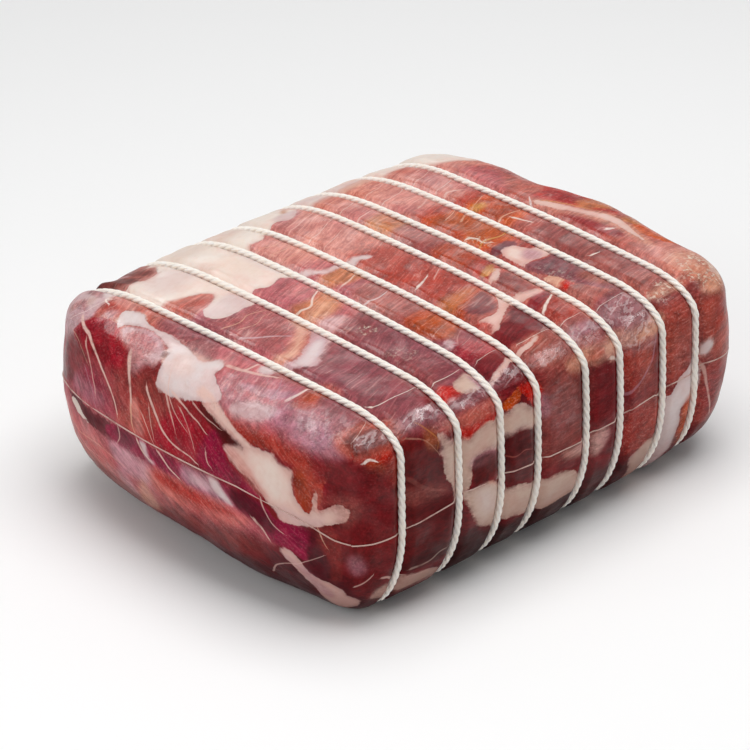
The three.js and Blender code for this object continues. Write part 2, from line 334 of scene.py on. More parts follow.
    (Tone.BEIGE, (49, 22, 54, 27, 58, 30, 62, 30, 66, 25, 69, 28, 72, 20, 71, -12, 56, -10, 52, 8), 0.9),
    (Tone.PEARL, (69, 42, 72, 50, 77, 55, 82, 58, 87, 60, 92, 57, 93, 44, 87, 42, 82, 41, 79, 38, 80, 28,
       79, 18, 80, 6, 78, -12, 69, -12), 0.9),
    (Tone.ORANGE, (81, 40, 91, 42, 91, 12, 82, 14), 2.5, 0.75),
    (Tone.BRICK, (93, 60, 95, 67, 99, 72, 106, 75, 120, 74, 140, 72, 140, 69, 120, 70, 107, 70, 100, 66,
       96, 61), 1.4, 0.85),
    (Tone.PEARL, (94, 66, 98, 68, 101, 64, 97, 61, 93, 61), 1.2, 0.8),
    (Tone.PEACH, (100, 92, 112, 92, 130, 94, 130, 87, 108, 87, 98, 89), 2, 0.5),
) + on_face(Patch, Face.END,
    (Tone.GARNET, (-110, 92, 88, 92, 86, 58, -110, 58), 3),
    (Tone.DUSTY, (-110, 58, 0, 59, 50, 50, 50, 22, -110, 18), 3),
    (Tone.MAUVE, (-110, 30, -40, 26, 20, 30, 60, 26, 60, -60, -110, -60), 8),
    (Tone.WINE, (-10, 22, 30, 33, 60, 40, 86, 50, 92, -60, -40, -60), 7, 0.9),
    (Tone.CLARET, (10, 10, 50, 20, 60, 34, 92, 30, 92, -40, -10, -40), 6, 0.8),
    (Tone.WINE, (86, 84, 100, 85, 120, 76, 120, 48, 100, 50, 88, 60), 3, 0.9),
    (Tone.SALMON, (-92, 50, -60, 46, -40, 44, -40, 32, -60, 24, -92, 26), 5, 0.35),
    (Tone.VEIL, (-40, 50, -14, 51, -10, 40, -24, 36, -34, 38), 3, 0.6),
    (Tone.PEACH, (-27, 16, -24, 28, -18, 38, -13, 32, -16, 16), 2.5, 0.6),
    (Tone.VEIL, (-32, 38, -28, 30, -27, 20, -33, 22, -38, 32), 2, 0.55),
    (Tone.SALMON, (-10, 49, 18, 49, 38, 47, 48, 44, 34, 37, 10, 36, -10, 38), 4, 0.6),
    (Tone.RED, (-6, 48, 30, 47, 40, 45, 20, 42, -4, 43), 2, 0.7),
    (Tone.DUSK, (-10, 36, 24, 36, 44, 38, 52, 30, 30, 24, -8, 24), 4, 0.5),
    # The pale corner where this end meets the top at the back is partly the meat's own tone and partly
    # painted highlight.
    (Tone.VEIL, (-110, 104, -78, 98, -76, 92, -86, 86, -110, 84), 4, 0.8),
    (Tone.ROSE, (-92, 98, -76, 96, -70, 92, -84, 88), 3, 0.6),
    (Tone.RED, (-76, 92, -71, 98, -62, 100, -54, 99, -46, 94, -41, 90, -55, 88), 1.6),
    (Tone.GARNET, (-72, 93, -60, 92, -45, 91, -54, 94, -66, 95), 1.2, 0.7),
    (Tone.UMBER, (-96, 60, -90, 80, -80, 86, -70, 86, -64, 80, -66, 70, -76, 62), 2.5),
    (Tone.WINE, (-90, 88, -78, 92, -62, 90, -57, 76, -66, 66, -90, 68), 5, 0.6),
    (Tone.MAGENTA, (-72, 64, -64, 74, -54, 76, -42, 70, -36, 62, -64, 59), 3, 0.7),
    (Tone.LILAC, (-70, 67, -58, 69, -46, 67, -50, 61, -70, 61), 2.5, 0.5),
    (Tone.DUSTY, (-110, 84, -66, 88, -30, 74, -24, 60, -110, 60), 7, 0.25),
    (Tone.WINE, (-27, 80, -25, 87, -20, 90, -14, 89, -9, 84, -9, 79, -18, 77), 1.2),
    (Tone.VEIL, (-46, 106, -36, 107, -27, 102, -25, 92, -29, 84, -34, 84, -39, 92, -43, 98), 2, 0.6),
    (Tone.CLAY, (-41, 100, -36, 101, -31, 90, -34, 86), 2, 0.5),
    (Tone.DUSTY, (-46, 104, -34, 105, -28, 98, -32, 93, -42, 97), 2.5, 0.7),
    (Tone.RED, (-28, 72, -22, 77, -12, 74, -2, 66, 2, 60, -24, 59), 2, 0.5),
    (Tone.ROSE, (-40, 82, -10, 86, 12, 78, 8, 64, -34, 62), 6, 0.35),
    (Tone.PINK, (-28, 72, -24, 74, -20, 68, -16, 62, -22, 60, -26, 65), 1.5, 0.75),
    (Tone.ROSE, (-34, 66, -27, 67, -22, 61, -34, 60), 1.2, 0.8),
    (Tone.CRIMSON, (-8, 60, -8, 70, 0, 78, 8, 80, 18, 76, 26, 72, 24, 62), 2.5, 0.95),
    (Tone.MAGENTA, (18, 62, 20, 74, 26, 79, 31, 74, 34, 68, 44, 63, 54, 58, 30, 59), 2, 0.85),
    (Tone.CLARET, (-76, 57.5, -40, 58, -34, 52, -40, 50, -58, 50, -74, 55), 1.4),
    (Tone.MAGENTA, (-38, 58, 0, 58, 42, 57, 56, 55, 62, 50, 66, 53, 80, 50, 80, 42, 76, 34, 70, 36, 62, 38,
       56, 40, 52, 45, 40, 49, 10, 50, -38, 50), 1),
    (Tone.PLUM, (-34, 58, -20, 58, -26, 53, -34, 52), 1.6, 0.6),
    (Tone.CLARET, (38, 57, 54, 55, 62, 46, 58, 42, 50, 46, 40, 50), 1.6, 0.8),
    (Tone.CLARET, (78, 50, 82, 50, 85, 38, 88, 28, 86, 21, 80, 21, 76, 28, 77, 38), 1.2, 0.9),
    (Tone.PEARL, (-18, 58, -16, 54, -12, 51, -8, 51, -12, 53, -14, 58), 0.8, 0.8),
    (Tone.LILAC, (10, 57, 26, 58, 32, 56, 36, 50, 12, 50), 2, 0.85),
    (Tone.VEIL, (14, 55, 22, 56, 28, 52, 16, 51), 1.5, 0.7),
    (Tone.PEARL, (25, 58, 30, 58, 33, 55, 40, 49, 34, 50, 28, 53), 1, 0.8),
    (Tone.CREAM, (-74, 54, -71, 56, -65, 55, -60, 52, -54, 50, -62, 50, -70, 52), 0.8),
    (Tone.BRICK, (14, 88, 24, 92, 42, 93, 70, 93, 74, 82, 68, 77, 56, 79, 44, 79, 32, 82), 1.3),
    (Tone.VEIL, (24, 93, 44, 94, 66, 93, 60, 90, 40, 89, 28, 90), 1.5, 0.6),
    (Tone.UMBER, (12, 87, 20, 85, 28, 83, 36, 81, 42, 78, 43, 76, 38, 73, 30, 75, 24, 78, 14, 82), 0.9),
    (Tone.BRICK, (70, 92, 82, 92, 87, 82, 84, 72, 82, 62, 78, 58, 74, 61, 70, 66, 68, 76), 1.4),
    (Tone.GARNET, (74, 92, 86, 92, 88, 80, 82, 74, 77, 80), 2.5, 0.7),
    (Tone.RUST, (70, 74, 74, 76, 78, 66, 77, 59, 72, 63), 1.8, 0.6),
    (Tone.WINE, (80, 90, 88, 90, 90, 80, 84, 76), 2, 0.6),
    (Tone.BLUSH, (-24, 94, -19, 91, -14, 89, -9, 86, 0, 86, 8, 86, 14, 89.5, 22, 87, 30, 83.5, 38, 81,
       45, 78.5, 50, 78.5, 57, 79, 61, 76, 68, 75, 69, 69, 72, 62, 77, 58, 78.5, 60, 79.5, 68, 81, 69,
       82, 61, 88, 63, 92, 64.5, 96, 63, 99, 60, 96, 56, 90, 55, 80, 52, 72, 51, 65, 51, 61, 55, 53, 61,
       45, 65, 37, 68, 31, 73, 36, 75, 41, 76, 37, 77.5, 29, 80, 20, 83, 12, 86, 9, 98, 8, 104, 12, 112,
       -10, 116, -20, 104), 0.8),
    (Tone.BLUSH, (-20, 98, -12, 91, -2, 89, 6, 90, 6, 100, 8, 110, -10, 114), 2.5, 0.7),
    (Tone.CREAM, (50, 76, 60, 75, 67, 70, 68, 62, 60, 60, 52, 66, 46, 72), 3, 0.7),
    (Tone.PINK, (32, 73, 40, 73, 50, 66, 58, 60, 52, 60, 42, 66), 1.5, 0.6),
    (Tone.VEIL, (62, 55, 66, 58, 76, 56, 84, 57, 82, 53, 70, 52), 1.5, 0.4),
    (Tone.CLAY, (80, 60, 84, 60, 83, 70, 80, 70), 1.5, 0.5),
    (Tone.CLAY, (84, 66, 94, 68, 104, 66, 104, 58, 96, 54, 88, 60), 4, 0.4),
    (Tone.BLUSH, (63, 35, 66, 37, 70, 36, 73, 32, 76, 26, 80, 22, 86, 18, 90, 13, 93, 7, 95, -10, 78, -12,
       76, 4, 75, 13, 72, 20, 68, 28), 0.8),
    (Tone.LILAC, (66, 34, 72, 24, 76, 12, 80, 0, 86, 2, 82, 16, 74, 28), 2.5, 0.5),
    (Tone.BRICK, (81, 48, 84, 53, 89, 51, 93, 46, 93, 22, 89, 18, 86, 22, 87, 34, 83, 42), 1.6, 0.25),
) + on_face(Patch, Face.TOP,
    (Tone.PINK, (-34, 80, 130, 80, 130, 34, 60, 34, 20, 28, -34, 24), 10),
    (Tone.DUSTY, (-92, 34, -34, 34, -12, 22, -12, -38, -34, -40, -92, -24), 6),
    (Tone.CLAY, (-92, 22, -62, 20, -62, -2, -80, -14, -92, -18), 5, 0.6),
    (Tone.HEATHER, (-92, -32, -60, -24, -40, -18, -29, -22, -29, -79, -92, -79), 4),
    (Tone.HEATHER, (-92, -79, -29, -79, -29, -104, -96, -104), 3),
    # The pale corner where the top meets the left end at the back is partly the meat's own tone and partly
    # painted highlight.
    (Tone.VEIL, (-130, 78, -97, 78, -92, 110, -130, 110), 3, 0.85),
    (Tone.MAUVE, (-119, 90, -109, 90, -110, 104, -118, 104), 3, 0.6),
    (Tone.BEIGE, (-114, 91, -105, 94, -104, 85, -111, 84), 2.5, 0.5),
    (Tone.DUSK, (-103, 100, -96, 100, -97, 84, -102, 82), 2, 0.7),
    (Tone.ROSE, (-122, 76, -100, 73, -98, 60, -104, 58, -118, 60), 2.5),
    (Tone.VEIL, (-114, 68, -108, 68, -107, 61, -114, 62), 2, 0.5),
    (Tone.RED, (-110, 73, -102, 72, -101, 64, -108, 66), 1.8, 0.6),
    (Tone.PINK, (-101, 75, -91, 75, -90, 56, -98, 54, -103, 62), 2, 0.9),
    (Tone.PEARL, (-101, 83, -91, 85, -91, 76, -99, 74), 1.6, 0.8),
    (Tone.ROSE, (-107, 55, -90, 55, -90, 36, -106, 34), 2.2),
    (Tone.HEATHER, (-106, 36, -90, 36, -90, 2, -108, -2), 3.5, 0.85),
    (Tone.DUSTY, (-106, 2, -90, 2, -90, -20, -104, -18), 3, 0.8),
    # Down to the wide lilac patch, the pale patches along the top's left edge are partly the meat's own tone
    # and partly painted highlight, the sheen on that edge.
    (Tone.DUSTY, (-126, -8, -106, -8, -98, -26, -96, -48, -110, -52, -128, -52), 3.5, 0.8),
    (Tone.LILAC, (-124, -16, -110, -14, -103, -30, -102, -46, -112, -50, -126, -46), 4, 0.6),
    (Tone.DUSTY, (-119, -10, -111, -10, -106, -20, -104, -46, -119, -48), 3, 0.75),
    (Tone.MAUVE, (-100, -26, -91, -24, -91, -48, -98, -48), 2.5, 0.8),
    (Tone.LILAC, (-116, -26, -112, -24, -104, -46, -98, -47, -106, -50, -114, -40), 1.5, 0.8),
    (Tone.VEIL, (-126, -62, -116, -60, -112, -74, -120, -84, -127, -80), 2, 0.5),
    (Tone.PEARL, (-128, -30, -124, -28, -118, -46, -120, -52, -126, -44), 1.2, 0.55),
    (Tone.LILAC, (-126, -52, -108, -50, -102, -62, -100, -84, -118, -92, -128, -92), 4, 0.6),
    (Tone.HEATHER, (-114, -74, -104, -72, -102, -84, -112, -86), 3, 0.4),
    (Tone.ROSE, (-110, -51, -90, -50, -90, -62, -104, -63, -111, -57), 1.6, 0.9),
    (Tone.RUST, (-105, -53, -94, -53, -94, -59, -103, -59), 1.5, 0.7),
    (Tone.HEATHER, (-104, -62, -90, -62, -90, -86, -102, -84), 2.5, 0.95),
    (Tone.ROSE, (-124, -88, -110, -84, -90, -90, -90, -106, -124, -108), 2.5, 0.95),
    (Tone.UMBER, (-122, -94, -108, -90, -96, -96, -98, -106, -122, -106), 2.5, 0.7),
    (Tone.CLAY, (-30, -4, -11, -4, -11, -38, -30, -40), 4, 0.9),
    (Tone.BRICK, (-8, 18, 18, 16, 40, 22, 92, 28, 92, -34, 20, -40, -8, -36), 6),
    (Tone.ROSE, (-8, 18, 18, 16, 20, 2, -8, 4), 5, 0.6),
    (Tone.MAUVE, (70, -14, 92, -16, 92, -84, 70, -84), 4),
    (Tone.DUSK, (70, -24, 92, -26, 92, -70, 76, -64, 70, -50), 5, 0.6),
    (Tone.ROSE, (70, -2, 90, -2, 84, -12, 70, -13), 2.5, 0.9),
    (Tone.ORANGE, (43, 30, 66, 26, 90, 27, 88, 2, 68, -4, 64, -13, 44, -14), 3),
    (Tone.AMBER, (44, 20, 62, 21, 64, -6, 46, -8), 4, 0.98),
    (Tone.RUST, (70, 22, 84, 22, 84, 5, 70, 4), 3, 0.98),
    (Tone.GOLD, (70, 23, 78, 22, 76, 18, 70, 18), 1.6, 0.7),
    (Tone.BRICK, (44, 34, 66, 33, 68, 26, 52, 26, 44, 28), 2.5, 0.7),
    (Tone.BRICK, (71, 33, 90, 33, 90, 27, 71, 27), 2.5, 0.7),
    (Tone.BRICK, (86, 27, 92, 27, 92, -14, 86, -14), 2.5, 0.8),
    (Tone.BRICK, (43, 18, 48, 16, 48, 4, 43, 2), 2, 0.6),
    (Tone.OCHRE, (22, 44, 40, 44, 41, 30, 22, 27), 3.5, 0.9),
    (Tone.RUST, (30, 40, 40, 40, 40, 31, 30, 32), 3, 0.4),
    (Tone.PEACH, (44, 94, 62, 93, 64, 84, 45, 82), 3, 0.7),
    (Tone.SALMON, (74, 84, 84, 84, 82, 74, 76, 72), 3, 0.6),
    (Tone.MAUVE, (22, 26, 40, 27, 40, 2, 22, 0), 2.5, 0.8),
    (Tone.RUST, (22, 0, 36, 0, 36, -18, 22, -20), 3, 0.7),
    (Tone.OCHRE, (-56, 6, -44, 5, -33, 9, -34, -1, -42, -10, -57, -9), 3, 0.8),
    (Tone.PEACH, (-56, -2, -46, 0, -40, -4, -48, -12, -56, -12), 2.5, 0.4),
    (Tone.OCHRE, (-30, 17, -20, 18, -10, 18, -9, 8, -14, 4, -24, 4, -30, 9), 2.5, 0.8),
    (Tone.RUST, (-30, -38, -20, -36, -12, -36, 0, -34, 14, -36, 14, -42, 2, -47, -8, -53, -13, -56, -20, -61,
       -28, -59), 2),
    (Tone.AMBER, (-28, -42, -14, -44, -13, -54, -22, -60, -28, -56), 3, 0.6),
    (Tone.OCHRE, (-8, -38, 4, -36, 12, -38, 2, -43, -8, -46), 2.5, 0.6),
    (Tone.CRIMSON, (-30, -63, -22, -64, -13, -58, -12, -80, -30, -80), 2, 0.75),
    (Tone.PLUM, (-22, -62, -12, -58, -12, -68, -18, -70), 2, 0.6),
    (Tone.WINE, (-30, -83, -12, -82, -12, -88, -20, -94, -30, -98), 1.6, 0.9),
    (Tone.WINE, (-8, -69, 6, -66, 19, -58, 20, -82, -8, -82), 1.5),
    (Tone.CLAY, (-8, -84, 18, -84, 18, -104, -8, -104), 2, 0.8),
    (Tone.MAUVE, (22, -83, 38, -83, 38, -104, 22, -104), 2, 0.9),
    (Tone.LILAC, (22, -90, 38, -90, 38, -98, 22, -98), 3, 0.5),
    (Tone.HEATHER, (44, -82, 66, -80, 66, -104, 44, -104), 2, 0.95),
    (Tone.ROSE, (96, 60, 128, 62, 128, -84, 96, -84), 5),
    (Tone.PINK, (95, 69, 112, 70, 126, 60, 112, 54, 95, 58), 3, 0.9),
    (Tone.DUSTY, (95, 55, 106, 56, 112, 46, 100, 30, 94, 26), 4, 0.7),
    (Tone.CRIMSON, (102, 55, 118, 56, 122, 42, 106, 42), 4, 0.4),
    (Tone.RED, (99, 12, 106, 13, 128, 20, 128, -22, 110, -20, 101, -4), 2),
    (Tone.GARNET, (104, 8, 116, 12, 116, -6, 106, -6), 3, 0.6),
    (Tone.GARNET, (95, -12, 99, -16, 105, -26, 104, -44, 95, -40), 2, 0.8),
    (Tone.PINK, (93, -52, 110, -58, 128, -62, 128, -84, 93, -84), 4, 0.7),
    (Tone.ORANGE, (113, -42, 118, -37, 130, -35, 130, -62, 116, -57), 1.4),
    (Tone.OCHRE, (116, -31, 130, -29, 130, -37, 119, -37), 1.4),
    (Tone.OCHRE, (106, -14, 120, -20, 130, -18, 130, -6, 112, -6), 2.5, 0.8),
    (Tone.CLAY, (-66, 104, -63, 86, -59, 78, -56, 84, -58, 104), 1.6, 0.5),
    (Tone.CRIMSON, (-132, 78, -121, 76, -116, 68, -115, 58, -119, 50, -124, 44, -132, 40), 1.3),
    (Tone.GARNET, (-132, 74, -124, 74, -120, 64, -122, 54, -132, 48), 1.6, 0.8),
    (Tone.CREAM, (-90, 74, -80, 76, -70, 76, -65, 82, -62, 92, -60, 112, 10, 112, 16, 96, 14, 84, 8, 76,
       3, 73, -2, 77, -8, 75, -13, 71, -20, 65, -30, 62, -30, 31, -33, 29, -38, 26, -42, 29, -49, 27,
       -57, 31, -60, 25, -65, 20, -70, 21, -78, 20, -84, 22, -86, 27, -83, 32, -77, 35, -71, 39, -73, 43,
       -80, 46, -90, 50), 0.8),
    (Tone.CREAM, (10, 112, 14, 92, 24, 88, 36, 88, 44, 93, 60, 92, 70, 86, 84, 86, 92, 80, 96, 70, 106, 67,
       116, 66, 124, 72, 130, 112), 2.5),
    (Tone.SALMON, (14, 112, 19, 112, 18, 84, 14, 82), 1.6, 0.5),
    (Tone.SALMON, (37, 112, 43, 112, 43, 84, 38, 84), 1.6, 0.6),
    (Tone.SALMON, (63, 112, 69, 112, 69, 82, 64, 82), 1.6, 0.7),
    (Tone.SALMON, (86, 112, 92, 112, 92, 80, 87, 80), 1.6, 0.6),
    (Tone.OCHRE, (7, 86, 10, 88, 13, 98, 11, 99, 8, 92), 1.2, 0.7),
    (Tone.VEIL, (0, 74, 10, 76, 14, 84, 6, 88, 0, 84), 3, 0.6),
    (Tone.PEACH, (-80, 60, -60, 66, -34, 62, -36, 40, -56, 44), 8, 0.25),
    (Tone.VEIL, (-84, 31, -86, 27, -83, 22, -76, 20, -65, 21, -61, 25, -60, 34, -70, 35), 3, 0.5),
    (Tone.PEARL, (-38, 60, -32, 62, -31, 34, -37, 32, -40, 42), 3, 0.6),
    (Tone.PINK, (-91, 50, -80, 46.5, -71, 41.5, -72, 38, -79, 34, -91, 33), 1.2, 0.85),
    (Tone.BRICK, (-91, 44, -80, 42, -75, 39, -80, 35, -91, 33), 2, 0.6),
    (Tone.PEARL, (-31, 31, -27, 27, -24, 22, -17, 21, -11, 23, -6, 21, 1, 18, 0, 15, -8, 17, -16, 18,
       -24, 18, -31, 26), 1),
    (Tone.PEARL, (-104, 59, -101, 50, -105, 43, -106, 34, -106, 24, -109, 12, -112, 2, -106, -4, -109, -9,
       -115, -8, -120, -12, -126, -20, -132, 12, -119, 20, -113, 24, -109, 33, -109, 44, -113, 51, -119, 53,
       -110, 58), 0.8),
    (Tone.VEIL, (-125, 22, -119, 22, -114, 26, -110, 33, -110, 43, -114, 50, -119, 51, -123, 44, -124, 34),
       1, 0.95),
    (Tone.DUSTY, (-123, 28, -115, 29, -112, 36, -114, 44, -120, 46, -124, 38), 2, 0.75),
    (Tone.UMBER, (-121, 21.5, -118, 22, -117, 20.5, -120, 19.8), 0.7, 0.8),
    (Tone.BLUSH, (-124, 14, -114, 16, -112, 8, -122, 2), 3, 0.5),
    (Tone.PEACH, (-62, 2, -66, -8, -75, -16, -84, -21, -90, -20, -90, -27, -80, -26, -70, -20, -60, -11),
       2.5, 0.8),
    (Tone.VEIL, (-91, -24, -86, -29, -80, -27, -73, -23, -66, -18, -60, -12, -60, -24, -67, -30, -75, -35,
       -82, -39, -86, -35, -91, -31), 1.3),
    (Tone.PEARL, (-88, -31, -80, -29, -70, -24, -66, -26, -76, -33, -84, -37), 1.6, 0.7),
    (Tone.PEARL, (-102, -24, -98, -22, -93, -21, -93, -26, -100, -30), 1.2, 0.8),
    (Tone.VEIL, (-57, -12, -51, -13, -44, -16, -47, -20, -57, -22), 1.6, 0.8),
    (Tone.PEARL, (-29, -62, -25, -63, -26, -66, -29, -68), 0.7, 0.6),
    (Tone.PLUM, (-4, -49, 6, -45, 13, -42, 14, -48, 10, -55, 4, -58, -3, -55), 1.5, 0.8),
    (Tone.BLUSH, (-6, -60, 5, -60, 11, -56, 16, -49, 20, -46, 23, -53, 34, -56, 34, -60, 26, -60, 19, -57,
       12, -60, 4, -65, -4, -70, -8, -68), 0.7),
    (Tone.RED, (-9, -60, -4, -62, -3, -66, -9, -70), 1, 0.8),
    (Tone.DUSK, (24, -38, 34, -36, 35, -54, 25, -54), 2, 0.9),
    (Tone.BLUSH, (24, -36, 29, -33, 33, -30, 34, -33, 30, -37, 25, -40), 0.8),
    (Tone.GOLD, (24, -31, 33, -27, 34, -30, 27, -34), 1.2, 1),
    (Tone.GARNET, (23, -61, 36, -60, 36, -64, 24, -69), 0.8),
    (Tone.BRICK, (24, -70, 36, -65, 36, -80, 24, -81), 2, 0.9),
    (Tone.BLUSH, (36, 10, 39, 10, 39, -76, 36, -78), 1.4, 0.3),
    (Tone.PLUM, (44, -17, 50, -15, 57, -15, 58, -20, 46, -23), 1),
    (Tone.BLUSH, (45, -24, 49, -20, 55, -20, 60, -27, 66, -25, 67, -33, 60, -37, 50, -36, 45, -38), 0.8),
    (Tone.LILAC, (51, -27, 58, -27, 60, -33, 56, -36, 50, -34), 2, 0.6),
    (Tone.CREAM, (46, -25, 51, -22, 54, -26, 49, -31, 46, -30), 1.6, 0.7),
    (Tone.HEATHER, (45, -38, 52, -37, 60, -38, 67, -34, 67, -74, 62, -79, 56, -73, 51, -64, 47, -54,
       45, -46), 0.7),
    (Tone.PLUM, (46, -40, 56, -40, 66, -38, 66, -52, 54, -60, 48, -50), 3, 0.7),
    (Tone.OCHRE, (56, -60, 66, -58, 66, -72, 60, -72), 3, 0.3),
    (Tone.PEACH, (44, -50, 47, -52, 49, -59, 44, -61), 0.8),
    (Tone.SCARLET, (44, -60, 49, -59, 49, -63, 44, -65), 0.8, 0.9),
    (Tone.CLAY, (44, -65, 50, -64, 54, -70, 56, -76, 48, -76, 44, -80), 1.2),
    (Tone.PEACH, (94, 9, 99, 6, 103, -4, 107, -14, 111, -22, 117, -28, 118, -36, 113, -46, 107, -58,
       102, -58, 104, -40, 99, -20, 94, -4), 2.5, 0.45),
    (Tone.BLUSH, (95, 6, 97, 6, 101, -4, 104.5, -14, 108.5, -22, 113, -27, 115, -34, 111, -43, 107, -53,
       105, -54, 107, -42, 107.5, -33, 103.5, -23, 99.5, -12, 96, -2), 0.9),
    (Tone.PEACH, (98, -74, 112, -70, 132, -74, 132, -106, 104, -104), 6, 0.5),
    (Tone.PEACH, (72, -90, 91, -87, 91, -97, 74, -98), 3, 0.5),
    (Tone.SCARLET, (-57, -87, -50, -87, -46, -92, -47, -99, -57, -100), 1.2, 0.8),
    (Tone.BEIGE, (-47, -88, -38, -85, -33, -85, -33, -93, -38, -101, -47, -98), 1),
    (Tone.LILAC, (-38, -88, -33, -88, -33, -98, -37, -99), 1.5, 0.6),
    (Tone.BLUSH, (-31, -101, -28, -96, -20, -92, -13, -87, -7, -87, 2, -85, 6, -83, 6, -86, -6, -90,
       -13, -91, -19, -96, -26, -101), 0.8),
    (Tone.WINE, (-68, -99, -66, -88, -61, -82, -59, -88, -60, -99), 1.5),
    (Tone.BEIGE, (-64, 98, -20, 102, -8, 88, -50, 80), 8, 0.4),
    (Tone.VEIL, (-84, 72, -62, 76, -58, 58, -84, 56), 7, 0.35),
    (Tone.VEIL, (16, 104, 60, 102, 64, 88, 18, 88), 6, 0.35),
    (Tone.CLAY, (-92, 114, -92, 80, -88, 77, -84, 80, -80, 76, -74, 77, -70, 80, -66, 88, -68, 96, -64, 104,
       -68, 114, -80, 118), 1.1),
    (Tone.UMBER, (-91, 108, -90, 88, -86, 80, -81, 79, -80, 92, -84, 106), 1.6, 0.7),
    (Tone.UMBER, (-77, 106, -77, 86, -74, 80, -70, 82, -72, 94, -71, 106), 1.6, 0.5),
    (Tone.VEIL, (-84, 112, -80, 104, -79, 94, -77, 104, -78, 114), 1.2, 0.6),
)

# Painted sheen: where the film on the meat catches the light, its gloss is also painted into the colour.
PAINTED_SHEEN = on_face(SheenOrCrust, Face.TOP,
    ((-124, -20, -108, -16, -100, -40, -112, -52, -128, -44), 4, 0.2),
    ((-122, -60, -104, -62, -102, -84, -122, -90), 4, 0.3),
    ((-128, 100, -98, 100, -98, 80, -128, 80), 4, 0.2),
    ((-116, -96, -90, -95, -60, -96, -60, -103, -90, -104, -116, -104), 2, 0.7),
    ((-57, -98, -34, -98, -34, -104, -57, -104), 1.6, 0.5),
    ((-31, -98, -12, -95, -12, -103, -31, -104), 1.6, 0.6),
    ((-9, -96, 18, -95, 18, -102, -9, -103), 1.8, 0.25),
    ((22, -90, 38, -90, 38, -102, 22, -102), 3, 0.45),
    ((44, -86, 66, -84, 66, -102, 44, -102), 3, 0.6),
) + on_face(SheenOrCrust, Face.FRONT,
    ((-4, 82, 10, 80, 14, 62, 4, 58, -4, 66), 5, 0.15),
    ((45, 90, 65, 92, 64, 81, 46, 80), 3, 0.5),
) + on_face(SheenOrCrust, Face.END,
    ((-50, 106, -24, 104, -22, 90, -44, 92), 3, 0.25),
)

CRUST = on_face(SheenOrCrust, Face.TOP,
    ((100, -76, 116, -72, 132, -78, 134, -104, 112, -108, 98, -98), 5),
    ((71, -88, 91, -84, 91, -98, 73, -100), 3, 0.8),
    ((-49.5, -29.5, -44, -29, -42, -33, -45, -36.5, -50, -34), 1),
    ((-54, -52, -42, -54, -44, -62, -54, -62), 4, 0.35),
    ((44, -1, 51, -2, 50, -12, 45, -13), 1.5, 0.9),
    ((44, -44, 54, -44, 54, -60, 44, -60), 4, 0.3),
    ((22, -92, 38, -90, 38, -99, 22, -100), 3, 0.4),
) + on_face(SheenOrCrust, Face.BACK,
    ((64, 30, 86, 36, 92, 24, 70, 18), 4, 0.7),
    ((-112, 60, -98, 66, -94, 54, -108, 50), 4, 0.6),
) + on_face(SheenOrCrust, Face.FAR,
    ((-104, 88, -76, 92, -74, 78, -100, 74), 5, 0.9),
    ((30, 84, 50, 86, 50, 74, 32, 72), 4, 0.6),
)

